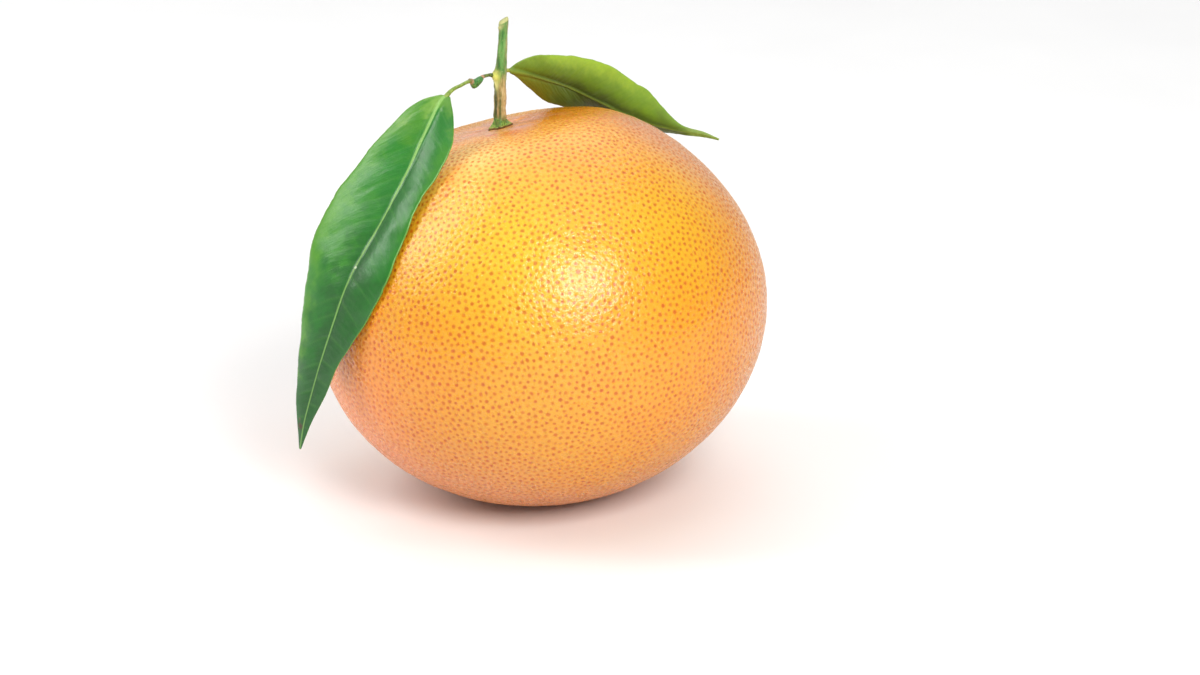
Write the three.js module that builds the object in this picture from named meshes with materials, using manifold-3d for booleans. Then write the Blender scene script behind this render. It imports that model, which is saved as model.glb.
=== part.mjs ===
// A whole grapefruit picked with its stem and two leaves, resting on a small flat spot.
// Units are millimetres, +Z is up. The origin is the centre of the flat spot on the
// fruit's underside. +X is the fruit's right, -Y is its front.
import * as THREE from 'three';
import Module from 'manifold-3d';

// ---------------------------------------------------------------- driving dimensions
const FRUIT_CENTRE = [0, 0.1, 46.1];      // middle of the fruit above the flat spot
const EQUATOR_RADIUS = 53.96;             // across the fruit, before the gentle swellings
const POLE_RADIUS = 49.31;                // along the stem axis
const SHOULDER_HEIGHT = 44.22;            // the nearly flat shoulder round the stem
const SHOULDER_SHARPNESS = 29.2;          // how quickly the side turns into the shoulder
const STEM_AXIS = [-0.20928, 0.118, 0.97071];   // the fruit leans 14 degrees
const DIMPLE_DEPTH = 0.012, DIMPLE_WIDTH = 0.14;    // share of the radius, radians
const BASE_AXIS = [-0.1952, 0.0976, -0.9759];   // middle of the flattened underside
const BASE_DEPTH = 0.05, BASE_WIDTH = 0.6;
// relative swelling of the skin for each smooth harmonic of the direction
const SWELL = [-0.0012, -0.0017, -0.0026, 0.0044, -0.0015, 0.002, 0.001, -0.0006, -0.0004,
  -0.005, 0.0001, 0.0069, 0, 0.0006, 0.0001, 0.0004, -0.0008, -0.0009, -0.0005, 0, 0.0057,
  0.005, -0.0009, -0.0001, 0.0015];
const FURROWS = 7, FURROW_DEPTH = 0.34;   // shallow radial furrows round the stem
const GAP = 0.32;                         // between pieces that touch in the real fruit

const STEM_BASE = [-9.17, 4.22];          // where the stem stands on the shoulder (x, y)
const CALYX_RADIUS = 2.62, CALYX_LOBES = 5, CALYX_HEIGHT = 2.0, CALYX_TOP_RADIUS = 1.72;

// stem sections: x, y, z of the centre and the radius
const STEM = [
  [-9.16, 4.20, 91.95, 1.54], [-9.13, 4.18, 94.0, 1.47],
  [-9.07, 4.16, 96.4, 1.45], [-9.0, 4.13, 98.6, 1.40], [-9.03, 4.1, 100.6, 1.41],
  [-8.96, 4.08, 102.1, 1.44], [-8.9, 4.07, 103.3, 1.46], [-8.73, 4.05, 105.0, 1.38],
  [-8.57, 4.01, 107.5, 1.26], [-8.33, 3.97, 110.5, 1.18], [-8.16, 3.92, 113.5, 1.11],
  [-8.06, 3.9, 115.1, 1.19], [-8.0, 3.88, 116.2, 1.02]];
const STEM_CUT_SLOPE = 0.5;               // the slanting cut across the stem's top
const CUSHION = [102.6, 1.2, 0.5];       // bud cushion on the stem: height, reach, swelling

const SIDE_TWIG = [
  [-11.2, 3.05, 103.05, 0.50], [-11.86, 2.15, 103.25, 0.42], [-12.5, 1.35, 103.33, 0.43],
  [-13.05, 0.72, 103.32, 0.50]];
const TWIG_BUD = [                        // the swollen node at the end of the side twig
  [-13.28, 0.42, 103.2, 0.50], [-13.62, 0.0, 103.0, 0.82], [-14.2, -0.82, 102.75, 1.0],
  [-14.85, -1.6, 102.72, 0.98], [-15.4, -2.3, 103.0, 0.78], [-15.75, -2.72, 103.35, 0.5]];
const BUD_HANG = 0.55;                    // how far the bud's belly hangs below its middle
const LEFT_PETIOLE = [
  [-16.02, -3.05, 103.62, 0.47], [-16.9, -4.35, 103.42, 0.50], [-18.14, -5.84, 103.13, 0.51],
  [-19.45, -7.15, 102.85, 0.55], [-20.3, -8.05, 102.42, 0.57], [-20.88, -8.85, 102.02, 0.52]];
const RIGHT_PETIOLE = [
  [-8.12, 5.80, 103.2, 0.48], [-7.67, 6.56, 103.1, 0.46], [-7.22, 7.32, 102.96, 0.50]];

const LEAF_THICKNESS = 0.5, MIDRIB_THICKNESS = 0.5;
const FACE = [0, -0.94, 0.34];            // the side that both leaves turn to the front
// leaf stations: midrib, one edge, the other edge, then how much each half bulges forward
const LEFT_LEAF = [
  [[-21.45, -9.51, 101.56], [-22.64, -9.15, 101.82], [-20.42, -9.66, 101.36], 0.03, 0.05],
  [[-22.30, -10.33, 101.07], [-26.86, -9.63, 100.78], [-20.17, -11.04, 100.18], 0.18, 0.2],
  [[-23.63, -12.00, 99.12], [-30.27, -10.48, 98.91], [-19.67, -13.52, 97.87], 0.33, 0.4],
  [[-24.99, -14.00, 96.55], [-33.44, -11.52, 96.04], [-19.51, -16.63, 94.79], 0.48, 0.5],
  [[-27.18, -16.60, 92.33], [-36.96, -12.85, 92.39], [-19.93, -19.91, 91.65], 0.6, 0.6],
  [[-29.80, -19.73, 86.94], [-40.75, -13.91, 88.30], [-22.41, -23.24, 87.82], 0.72, 0.7],
  [[-32.69, -22.77, 81.79], [-44.30, -15.18, 83.65], [-25.49, -26.82, 83.72], 0.81, 0.8],
  [[-35.34, -25.28, 76.96], [-47.49, -16.38, 79.46], [-28.23, -29.70, 79.53], 0.87, 0.8],
  [[-38.11, -27.39, 72.62], [-50.08, -17.83, 75.49], [-30.27, -32.51, 74.96], 0.9, 0.8],
  [[-42.20, -29.73, 65.90], [-52.71, -19.52, 69.10], [-32.80, -34.97, 69.18], 0.9, 0.8],
  [[-44.33, -30.77, 61.57], [-53.68, -20.81, 64.07], [-34.67, -36.38, 64.27], 0.87, 0.8],
  [[-46.18, -31.33, 56.82], [-54.64, -22.18, 58.56], [-36.83, -36.56, 59.91], 0.81, 0.7],
  [[-48.12, -31.84, 51.03], [-55.34, -23.89, 52.42], [-40.11, -36.10, 54.06], 0.72, 0.6],
  [[-49.99, -32.08, 45.39], [-55.82, -25.41, 46.19], [-43.77, -35.33, 47.83], 0.6, 0.5],
  [[-51.75, -32.24, 39.69], [-56.55, -27.22, 40.33], [-47.35, -34.45, 41.64], 0.48, 0.4],
  [[-53.66, -32.55, 33.01], [-56.98, -28.94, 34.16], [-50.14, -33.62, 34.68], 0.3, 0.3],
  [[-55.06, -32.82, 27.57], [-56.68, -30.86, 28.58], [-53.29, -33.34, 28.27], 0.12, 0.1],
  [[-56.08, -33.19, 21.88], [-56.28, -32.93, 21.88], [-55.84, -33.29, 21.82], 0.01, 0.02]];
const RIGHT_LEAF = [
  [[-7.02, 7.68, 102.88], [-6.97, 7.62, 103.32], [-6.97, 7.72, 102.42], 0.05, 0.05],
  [[-4.51, 8.78, 102.11], [-4.69, 7.94, 104.94], [-4.71, 9.88, 100.17], 0.4, 0.3],
  [[-1.93, 11.56, 100.67], [-2.04, 9.34, 105.65], [-2.42, 14.60, 96.47], 0.8, 0.5],
  [[1.95, 16.82, 97.87], [2.38, 13.07, 105.19], [1.59, 23.33, 90.63], 1.2, 0.6],
  [[6.63, 24.36, 94.03], [8.21, 20.22, 102.80], [7.12, 32.08, 86.01], 1.4, 0.6],
  [[10.72, 29.08, 90.64], [13.40, 25.27, 100.23], [11.64, 37.90, 83.88], 1.5, 0.6],
  [[14.83, 33.02, 87.42], [18.16, 29.96, 96.94], [15.36, 42.01, 81.73], 1.5, 0.6],
  [[18.93, 36.15, 84.34], [22.60, 34.13, 92.71], [18.97, 44.53, 79.28], 1.4, 0.6],
  [[23.65, 38.35, 81.60], [26.57, 37.20, 88.86], [23.22, 45.27, 77.23], 1.2, 0.6],
  [[28.62, 39.68, 79.41], [30.58, 39.16, 83.89], [28.20, 44.50, 76.29], 0.9, 0.5],
  [[33.36, 40.45, 78.01], [34.46, 40.40, 79.66], [33.28, 42.64, 76.42], 0.5, 0.3],
  [[36.60, 41.03, 77.28], [36.84, 41.01, 78.20], [36.62, 41.51, 76.25], 0.2, 0.2],
  [[40.34, 41.37, 76.45], [40.49, 41.35, 77.13], [40.25, 41.54, 75.75], 0.1, 0.1],
  [[44.33, 41.34, 75.19], [44.41, 41.33, 75.35], [44.29, 41.37, 75.00], 0.02, 0.02]];

const FRUIT_RINGS = 34, FRUIT_SEGMENTS = 56;
const LEAF_STATIONS = 30;
const LEAF_ACROSS = [-1, -0.75, -0.45, -0.18, -0.06, 0, 0.06, 0.18, 0.45, 0.75, 1];

const COLOURS = {
  fruit: [0xf7bd50, 0.42], calyx: [0x8f9a3e, 0.7], stem: [0x9a9a52, 0.72],
  side_twig: [0x6f8a45, 0.7], twig_bud: [0x3f7a3c, 0.6], left_petiole: [0x8fae3c, 0.6],
  left_leaf: [0x5c9a48, 0.38], right_petiole: [0xa9b04a, 0.65], right_leaf: [0x73903a, 0.6]};

// ---------------------------------------------------------------- small vector helpers
const V = (a) => new THREE.Vector3(a[0], a[1], a[2]);
const centre = V(FRUIT_CENTRE);
const stemAxis = V(STEM_AXIS).normalize();
const baseAxis = V(BASE_AXIS).normalize();
const face = V(FACE).normalize();
const sideX = new THREE.Vector3(1, 0, 0).addScaledVector(stemAxis, -stemAxis.x).normalize();
const sideY = new THREE.Vector3().crossVectors(stemAxis, sideX);

function swellings(n) {
  const { x, y, z } = n;
  return [x * y, y * z, x * z, x * x - y * y, 3 * z * z - 1,
    x * (x * x - 3 * y * y), y * (3 * x * x - y * y), z * (x * x - y * y), 2 * x * y * z,
    x * (5 * z * z - 1), y * (5 * z * z - 1), z * (5 * z * z - 3),
    x * y * (x * x - y * y), x ** 4 - 6 * x * x * y * y + y ** 4, x * z * (x * x - 3 * y * y),
    y * z * (3 * x * x - y * y), (x * x - y * y) * (7 * z * z - 1), x * y * (7 * z * z - 1),
    x * z * (7 * z * z - 3), y * z * (7 * z * z - 3), (35 * z ** 4 - 30 * z * z + 3) / 4,
    x, y, z, 1];
}

// distance from the fruit's middle to its skin in the unit direction n
function skinRadius(n) {
  const ct = THREE.MathUtils.clamp(n.dot(stemAxis), -1, 1);
  const st = Math.sqrt(Math.max(0, 1 - ct * ct));
  const polar = Math.acos(ct);
  const body = 1 / Math.sqrt((st / EQUATOR_RADIUS) ** 2 + (ct / POLE_RADIUS) ** 2);
  const shoulder = ct > 0.05 ? (SHOULDER_HEIGHT / ct) ** -SHOULDER_SHARPNESS : 0;
  let r = (body ** -SHOULDER_SHARPNESS + shoulder) ** (-1 / SHOULDER_SHARPNESS);
  const under = Math.acos(THREE.MathUtils.clamp(n.dot(baseAxis), -1, 1));
  r *= 1 - DIMPLE_DEPTH * Math.exp(-((polar / DIMPLE_WIDTH) ** 2))
    - BASE_DEPTH * Math.exp(-((under / BASE_WIDTH) ** 2));
  const bumps = swellings(n);
  let swell = 1;
  for (let i = 0; i < SWELL.length; i++) swell += SWELL[i] * bumps[i];
  r *= swell;
  const out = polar * r;                                   // distance along the skin
  const around = Math.atan2(n.dot(sideY), n.dot(sideX));
  const wave = Math.max(0, Math.cos(FURROWS * around + 0.9 * Math.sin(around) + 0.5)) ** 2;
  return r - FURROW_DEPTH * wave * Math.exp(-(((out - 6.5) / 3.6) ** 2));
}

// height of the skin above the point (x, y), on the fruit's upper side
function skinHeight(x, y) {
  let z = 90;
  for (let i = 0; i < 40; i++) {
    const d = new THREE.Vector3(x, y, z).sub(centre);
    const len = d.length();
    z -= len - skinRadius(d.divideScalar(len));
  }
  return z;
}

function meshGeometry(points, faces) {
  const g = new THREE.BufferGeometry();
  g.setAttribute('position', new THREE.Float32BufferAttribute(points.flatMap((p) => [p.x, p.y, p.z]), 3));
  g.setIndex(faces.flat());
  g.computeVertexNormals();
  return g;
}

// ---------------------------------------------------------------- fruit
function fruitGeometry() {
  const polar = [];
  for (let i = 1; i < FRUIT_RINGS; i++) {
    const u = i / FRUIT_RINGS;
    polar.push(Math.PI * (u - 0.085 * Math.sin(2 * Math.PI * u)));   // finer rings at both ends
  }
  const pts = [], faces = [];
  const at = (theta, phi) => {
    const n = stemAxis.clone().multiplyScalar(Math.cos(theta))
      .addScaledVector(sideX, Math.sin(theta) * Math.cos(phi))
      .addScaledVector(sideY, Math.sin(theta) * Math.sin(phi)).normalize();
    return n.clone().multiplyScalar(skinRadius(n)).add(centre);
  };
  const S = FRUIT_SEGMENTS;
  pts.push(at(0, 0));
  for (const theta of polar) for (let j = 0; j < S; j++) pts.push(at(theta, (2 * Math.PI * j) / S));
  pts.push(at(Math.PI, 0));
  const last = pts.length - 1, rows = polar.length;
  for (let j = 0; j < S; j++) {
    const k = (j + 1) % S;
    faces.push([0, 1 + j, 1 + k]);
    for (let i = 0; i < rows - 1; i++) {
      const a = 1 + i * S, b = a + S;
      faces.push([a + j, b + j, b + k], [a + j, b + k, a + k]);
    }
    const a = 1 + (rows - 1) * S;
    faces.push([a + j, last, a + k]);
  }
  return meshGeometry(pts, faces);
}

// ---------------------------------------------------------------- round lofted pieces
// rows: [x, y, z, radius]; shape(phi, share along) gives a radius factor
function loft(rows, segments, shape = () => 1, move = (p) => p) {
  const c = rows.map((r) => V(r));
  const rings = [], faces = [];
  const tangents = c.map((p, i) => new THREE.Vector3()
    .subVectors(c[Math.min(i + 1, c.length - 1)], c[Math.max(i - 1, 0)]).normalize());
  let side = new THREE.Vector3(1, 0, 0);
  if (Math.abs(tangents[0].x) > 0.7) side = new THREE.Vector3(0, 0, 1);
  const pts = [];
  for (let i = 0; i < c.length; i++) {
    const t = tangents[i];
    side = side.clone().addScaledVector(t, -side.dot(t)).normalize();
    const up = new THREE.Vector3().crossVectors(t, side);
    const ring = [];
    for (let j = 0; j < segments; j++) {
      const phi = (2 * Math.PI * j) / segments;
      const share = i / (c.length - 1);
      const dir = side.clone().multiplyScalar(Math.cos(phi)).addScaledVector(up, Math.sin(phi));
      const r = rows[i][3] * shape(dir, share, c[i]);
      ring.push(pts.length);
      pts.push(move(c[i].clone().addScaledVector(dir, r), c[i], share));
    }
    rings.push(ring);
  }
  for (let i = 0; i < rings.length - 1; i++)
    for (let j = 0; j < segments; j++) {
      const k = (j + 1) % segments;
      const [a, b, d, e] = [rings[i][j], rings[i][k], rings[i + 1][j], rings[i + 1][k]];
      faces.push([a, b, e], [a, e, d]);
    }
  const cap = (ring, flip) => {
    const mid = ring.reduce((s, q) => s.add(pts[q]), new THREE.Vector3()).divideScalar(ring.length);
    const m = pts.length;
    pts.push(mid);
    for (let j = 0; j < segments; j++) {
      const k = (j + 1) % segments;
      faces.push(flip ? [m, ring[k], ring[j]] : [m, ring[j], ring[k]]);
    }
  };
  cap(rings[0], true);
  cap(rings[rings.length - 1], false);
  return meshGeometry(pts, faces);
}

function stemGeometry() {
  const ridge = (dir, share, c) => {
    const around = Math.atan2(dir.y, dir.x);
    const low = 1 - THREE.MathUtils.smoothstep(c.z, 100, 106);
    const cushion = Math.exp(-(((c.z - CUSHION[0]) / CUSHION[1]) ** 2))
      * Math.max(0, dir.x * -0.82 + dir.y * -0.57) ** 2;
    return 1 + (0.025 + 0.04 * low) * Math.cos(5 * around + 0.35 * c.z) + CUSHION[2] * cushion;
  };
  const cut = (p, c, share) => {
    if (share === 1) p.z += STEM_CUT_SLOPE * (p.x - c.x);
    return p;
  };
  return loft(STEM, 16, ridge, cut);
}

// the lobed green star under the stem: it follows the skin below and rises to a collar
function calyxGeometry() {
  const S = 30, pts = [], faces = [];
  const [cx, cy] = STEM_BASE;
  const top = skinHeight(cx, cy) + CALYX_HEIGHT;
  const lobe = (phi) => CALYX_RADIUS * (1 + 0.17 * Math.cos(CALYX_LOBES * phi + 0.6));
  const rows = [];
  // share runs 0..1 over the collar's top and 1..2 down over the lobes
  const ring = (share, upper) => {
    const r = [];
    for (let j = 0; j < S; j++) {
      const phi = (2 * Math.PI * j) / S;
      const out = upper && share <= 1 ? CALYX_TOP_RADIUS * share
        : upper ? THREE.MathUtils.lerp(CALYX_TOP_RADIUS, lobe(phi), share - 1) : lobe(phi) * share;
      const x = cx + out * Math.cos(phi), y = cy + out * Math.sin(phi);
      const low = skinHeight(x, y) + GAP + 0.03;
      let z = low;
      if (upper) {
        const edge = low + 0.32;
        const fall = share <= 1 ? 0 : (share - 1) ** 0.5;
        z = THREE.MathUtils.lerp(top - GAP, edge, Math.min(1, fall));
      }
      r.push(pts.length);
      pts.push(new THREE.Vector3(x, y, z));
    }
    return r;
  };
  rows.push(ring(0.5, false), ring(1, false), ring(2, true), ring(1.5, true), ring(1.0, true), ring(0.5, true));
  for (let i = 0; i < rows.length - 1; i++)
    for (let j = 0; j < S; j++) {
      const k = (j + 1) % S;
      const [a, b, d, e] = [rows[i][j], rows[i][k], rows[i + 1][j], rows[i + 1][k]];
      faces.push([a, b, e], [a, e, d]);
    }
  const low = pts.length;
  pts.push(new THREE.Vector3(cx, cy, skinHeight(cx, cy) + GAP + 0.03));
  const high = pts.length;
  pts.push(new THREE.Vector3(cx, cy, top - GAP));
  for (let j = 0; j < S; j++) {
    const k = (j + 1) % S;
    faces.push([low, rows[0][k], rows[0][j]]);
    faces.push([high, rows[5][j], rows[5][k]]);
  }
  return meshGeometry(pts, faces);
}

// ---------------------------------------------------------------- leaves
function leafGeometry(stations, ribOnFace) {
  const curve = (k) => new THREE.CatmullRomCurve3(stations.map((s) => V(s[k])), false, 'catmullrom', 0.5);
  const [mid, one, other] = [curve(0), curve(1), curve(2)];
  const bulge = (k, t) => {
    const s = Math.min(t * (stations.length - 1), stations.length - 1.0001);
    const i = Math.floor(s);
    return THREE.MathUtils.lerp(stations[i][k], stations[i + 1][k], s - i);
  };
  const sheet = [];
  for (let i = 0; i < LEAF_STATIONS; i++) {
    const t = i / (LEAF_STATIONS - 1);
    const m = mid.getPoint(t), a = one.getPoint(t), b = other.getPoint(t);
    const tangent = mid.getPoint(Math.min(1, t + 0.001)).sub(mid.getPoint(Math.max(0, t - 0.001))).normalize();
    const front = (edge) => {
      const n = new THREE.Vector3().crossVectors(tangent, edge.clone().sub(m)).normalize();
      return n.dot(face) < 0 ? n.negate() : n;
    };
    const na = front(a), nb = front(b), ba = bulge(3, t), bb = bulge(4, t);
    sheet.push(LEAF_ACROSS.map((u) => {
      const w = Math.abs(u);
      const [edge, n, h] = u < 0 ? [a, na, ba] : [b, nb, bb];
      return m.clone().lerp(edge, w).addScaledVector(n, h * 4 * w * (1 - w));
    }));
  }
  const R = sheet.length, Q = LEAF_ACROSS.length;
  const pts = [], faces = [], upper = [], lower = [];
  for (let i = 0; i < R; i++) {
    upper.push([]); lower.push([]);
    for (let j = 0; j < Q; j++) {
      const along = sheet[Math.min(i + 1, R - 1)][j].clone().sub(sheet[Math.max(i - 1, 0)][j]);
      const across = sheet[i][Math.min(j + 1, Q - 1)].clone().sub(sheet[i][Math.max(j - 1, 0)]);
      const n = new THREE.Vector3().crossVectors(along, across).normalize();
      if (n.dot(face) < 0) n.negate();
      const w = Math.abs(LEAF_ACROSS[j]);
      const fade = 1 - 0.75 * (i / (R - 1));
      const half = (LEAF_THICKNESS / 2) * (w > 0.9 ? 0.6 : 1) * (i === R - 1 ? 0.6 : 1);
      const rib = MIDRIB_THICKNESS * fade * Math.max(0, 1 - w / 0.12);
      upper[i].push(pts.length);
      pts.push(sheet[i][j].clone().addScaledVector(n, half + (ribOnFace ? rib : 0)));
      lower[i].push(pts.length);
      pts.push(sheet[i][j].clone().addScaledVector(n, -half - (ribOnFace ? 0 : rib)));
    }
  }
  const quad = (a, b, c, d) => faces.push([a, b, c], [a, c, d]);
  for (let i = 0; i < R - 1; i++)
    for (let j = 0; j < Q - 1; j++) {
      quad(upper[i][j], upper[i][j + 1], upper[i + 1][j + 1], upper[i + 1][j]);
      quad(lower[i][j], lower[i + 1][j], lower[i + 1][j + 1], lower[i][j + 1]);
    }
  for (let i = 0; i < R - 1; i++) {
    quad(upper[i][0], upper[i + 1][0], lower[i + 1][0], lower[i][0]);
    quad(upper[i][Q - 1], lower[i][Q - 1], lower[i + 1][Q - 1], upper[i + 1][Q - 1]);
  }
  for (let j = 0; j < Q - 1; j++) {
    quad(upper[0][j], lower[0][j], lower[0][j + 1], upper[0][j + 1]);
    quad(upper[R - 1][j], upper[R - 1][j + 1], lower[R - 1][j + 1], lower[R - 1][j]);
  }
  return outward(pts, faces);
}

// keep every piece's faces turned outward
function outward(pts, faces) {
  let volume = 0;
  for (const [a, b, c] of faces) volume += pts[a].dot(new THREE.Vector3().crossVectors(pts[b], pts[c]));
  return meshGeometry(pts, volume < 0 ? faces.map(([a, b, c]) => [a, c, b]) : faces);
}

// ---------------------------------------------------------------- the flat resting spot
const wasm = await Module();
wasm.setup();

function toManifold(g) {
  return new wasm.Manifold(new wasm.Mesh({
    numProp: 3,
    vertProperties: new Float32Array(g.attributes.position.array),
    triVerts: new Uint32Array(g.index.array)}));
}

function cutFlat(g) {
  const block = new wasm.Manifold(new wasm.Mesh({
    numProp: 3,
    vertProperties: new Float32Array([-40, -40, -20, 40, -40, -20, 40, 40, -20, -40, 40, -20,
      -40, -40, 0, 40, -40, 0, 40, 40, 0, -40, 40, 0]),
    triVerts: new Uint32Array([0, 2, 1, 0, 3, 2, 4, 5, 6, 4, 6, 7, 0, 1, 5, 0, 5, 4,
      1, 2, 6, 1, 6, 5, 2, 3, 7, 2, 7, 6, 3, 0, 4, 3, 4, 7])}));
  const out = toManifold(g).subtract(block).getMesh();
  const flat = new THREE.BufferGeometry();
  const p = [];
  for (let i = 0; i < out.vertProperties.length; i += out.numProp)
    p.push(out.vertProperties[i], out.vertProperties[i + 1], out.vertProperties[i + 2]);
  flat.setAttribute('position', new THREE.Float32BufferAttribute(p, 3));
  flat.setIndex([...out.triVerts]);
  flat.computeVertexNormals();
  return flat;
}

// ---------------------------------------------------------------- assembly
function piece(name, geometry) {
  const [colour, roughness] = COLOURS[name];
  const mesh = new THREE.Mesh(geometry, new THREE.MeshStandardMaterial({
    color: colour, roughness, metalness: 0, name}));
  mesh.name = name;
  return mesh;
}

const hang = (p, c, share) => {
  const belly = Math.sin(Math.PI * Math.min(1, share * 1.05));
  if (p.z < c.z) p.z -= BUD_HANG * belly * (c.z - p.z);
  return p;
};

const grapefruit = new THREE.Group();
grapefruit.add(
  piece('fruit', cutFlat(fruitGeometry())),
  piece('calyx', calyxGeometry()),
  piece('stem', stemGeometry()));
const leftSpray = new THREE.Group();
leftSpray.add(
  piece('side_twig', loft(SIDE_TWIG, 10)),
  piece('twig_bud', loft(TWIG_BUD, 12, () => 1, hang)),
  piece('left_petiole', loft(LEFT_PETIOLE, 10)),
  piece('left_leaf', leafGeometry(LEFT_LEAF, false)));
const rightSpray = new THREE.Group();
rightSpray.add(
  piece('right_petiole', loft(RIGHT_PETIOLE, 10)),
  piece('right_leaf', leafGeometry(RIGHT_LEAF, true)));
grapefruit.add(leftSpray, rightSpray);

export default grapefruit;
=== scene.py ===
import math

import bpy
import bmesh
import numpy as np
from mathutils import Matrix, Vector, kdtree, noise


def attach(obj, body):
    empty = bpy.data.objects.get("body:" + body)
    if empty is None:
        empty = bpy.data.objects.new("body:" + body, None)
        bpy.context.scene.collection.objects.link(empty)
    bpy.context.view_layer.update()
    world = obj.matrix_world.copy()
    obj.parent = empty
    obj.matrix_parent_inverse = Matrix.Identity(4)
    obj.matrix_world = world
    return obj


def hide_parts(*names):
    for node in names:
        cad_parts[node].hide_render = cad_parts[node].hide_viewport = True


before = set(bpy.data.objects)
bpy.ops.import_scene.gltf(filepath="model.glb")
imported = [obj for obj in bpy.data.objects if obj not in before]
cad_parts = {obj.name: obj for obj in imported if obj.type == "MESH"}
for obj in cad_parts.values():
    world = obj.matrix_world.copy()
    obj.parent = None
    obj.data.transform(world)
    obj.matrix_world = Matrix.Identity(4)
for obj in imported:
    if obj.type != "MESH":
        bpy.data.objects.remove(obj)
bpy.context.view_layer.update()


MM = 0.001

# ------------------------------------------------------------------ shape of the fruit
FRUIT_CENTRE = np.array([0.0, 0.1, 46.1])
EQUATOR_RADIUS, POLE_RADIUS = 53.96, 49.31
SHOULDER_HEIGHT, SHOULDER_SHARPNESS = 44.22, 29.2
STEM_AXIS = np.array([-0.20928, 0.118, 0.97071])
DIMPLE_DEPTH, DIMPLE_WIDTH = 0.012, 0.14
BASE_AXIS = np.array([-0.1952, 0.0976, -0.9759])
BASE_DEPTH, BASE_WIDTH = 0.05, 0.6
SWELL = np.array([-0.0012, -0.0017, -0.0026, 0.0044, -0.0015, 0.002, 0.001, -0.0006, -0.0004,
                  -0.005, 0.0001, 0.0069, 0, 0.0006, 0.0001, 0.0004, -0.0008, -0.0009, -0.0005,
                  0, 0.0057, 0.005, -0.0009, -0.0001, 0.0015])
FURROWS, FURROW_DEPTH = 7, 0.34
STEM_BASE = (-9.17, 4.22)


def unit(a):
    a = np.asarray(a, float)
    return a / np.linalg.norm(a, axis=-1, keepdims=True)


STEM_AXIS, BASE_AXIS = unit(STEM_AXIS), unit(BASE_AXIS)
SIDE_X = unit(np.array([1.0, 0, 0]) - STEM_AXIS * STEM_AXIS[0])
SIDE_Y = np.cross(STEM_AXIS, SIDE_X)
BLOSSOM_AXIS = -STEM_AXIS


def swellings(n):
    x, y, z = n.T
    return np.stack([
        x * y, y * z, x * z, x * x - y * y, 3 * z * z - 1,
        x * (x * x - 3 * y * y), y * (3 * x * x - y * y), z * (x * x - y * y), 2 * x * y * z,
        x * (5 * z * z - 1), y * (5 * z * z - 1), z * (5 * z * z - 3),
        x * y * (x * x - y * y), x ** 4 - 6 * x * x * y * y + y ** 4, x * z * (x * x - 3 * y * y),
        y * z * (3 * x * x - y * y), (x * x - y * y) * (7 * z * z - 1), x * y * (7 * z * z - 1),
        x * z * (7 * z * z - 3), y * z * (7 * z * z - 3), (35 * z ** 4 - 30 * z * z + 3) / 4,
        x, y, z, np.ones_like(x)], 1)


def skin_radius(n):
    n = np.atleast_2d(n)
    ct = np.clip(n @ STEM_AXIS, -1, 1)
    st = np.sqrt(np.clip(1 - ct * ct, 0, 1))
    polar = np.arccos(ct)
    body = 1 / np.sqrt((st / EQUATOR_RADIUS) ** 2 + (ct / POLE_RADIUS) ** 2)
    shoulder = np.where(ct > 0.05, (SHOULDER_HEIGHT / np.clip(ct, 0.05, 1)) ** -SHOULDER_SHARPNESS, 0)
    r = (body ** -SHOULDER_SHARPNESS + shoulder) ** (-1 / SHOULDER_SHARPNESS)
    under = np.arccos(np.clip(n @ BASE_AXIS, -1, 1))
    r = r * (1 - DIMPLE_DEPTH * np.exp(-(polar / DIMPLE_WIDTH) ** 2)
             - BASE_DEPTH * np.exp(-(under / BASE_WIDTH) ** 2))
    r = r * (1 + swellings(n) @ SWELL)
    out = polar * r
    around = np.arctan2(n @ SIDE_Y, n @ SIDE_X)
    wave = np.maximum(0, np.cos(FURROWS * around + 0.9 * np.sin(around) + 0.5)) ** 2
    r = r - FURROW_DEPTH * wave * np.exp(-((out - 6.5) / 3.6) ** 2)
    # small round dent of the blossom scar, opposite the stem
    scar = np.arccos(np.clip(n @ BLOSSOM_AXIS, -1, 1)) * r
    return r - 0.5 * np.exp(-(scar / 1.9) ** 2) + 0.12 * np.exp(-((scar - 3.2) / 1.0) ** 2)


def skin_height(x, y):
    z = 90.0
    for _ in range(30):
        d = np.array([x, y, z]) - FRUIT_CENTRE
        length = np.linalg.norm(d)
        z -= length - skin_radius(d / length)[0]
    return z


def srgb(r, g, b):
    c = np.array([r, g, b], float) / 255
    lin = np.where(c <= 0.04045, c / 12.92, ((c + 0.055) / 1.055) ** 2.4)
    return tuple(float(v) for v in lin)


def lumps(points, scale, seed=0.0):
    # smooth noise, about -1 to 1, with bumps roughly `scale` millimetres across
    shift = Vector((seed, seed * 1.7, -seed))
    return np.array([noise.noise(Vector(p) / scale + shift) for p in points])


def smoothstep(lo, hi, v):
    t = np.clip((np.asarray(v, float) - lo) / (hi - lo), 0, 1)
    return t * t * (3 - 2 * t)


# ------------------------------------------------------------------ mesh making
def new_mesh(name, verts_mm, faces, smooth=True):
    mesh = bpy.data.meshes.new(name)
    mesh.from_pydata((np.asarray(verts_mm) * MM).tolist(), [], [tuple(int(i) for i in f) for f in faces])
    mesh.update()
    if smooth:
        mesh.polygons.foreach_set("use_smooth", [True] * len(mesh.polygons))
    obj = bpy.data.objects.new(name, mesh)
    bpy.context.scene.collection.objects.link(obj)
    return obj


def add_float(obj, name, values):
    layer = obj.data.attributes.new(name, "FLOAT", "POINT")
    layer.data.foreach_set("value", np.asarray(values, np.float32).ravel())


def add_colour(obj, name, rgb):
    layer = obj.data.color_attributes.new(name, "FLOAT_COLOR", "POINT")
    rgba = np.ones((len(rgb), 4), np.float32)
    rgba[:, :3] = rgb
    layer.data.foreach_set("color", rgba.ravel())


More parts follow.
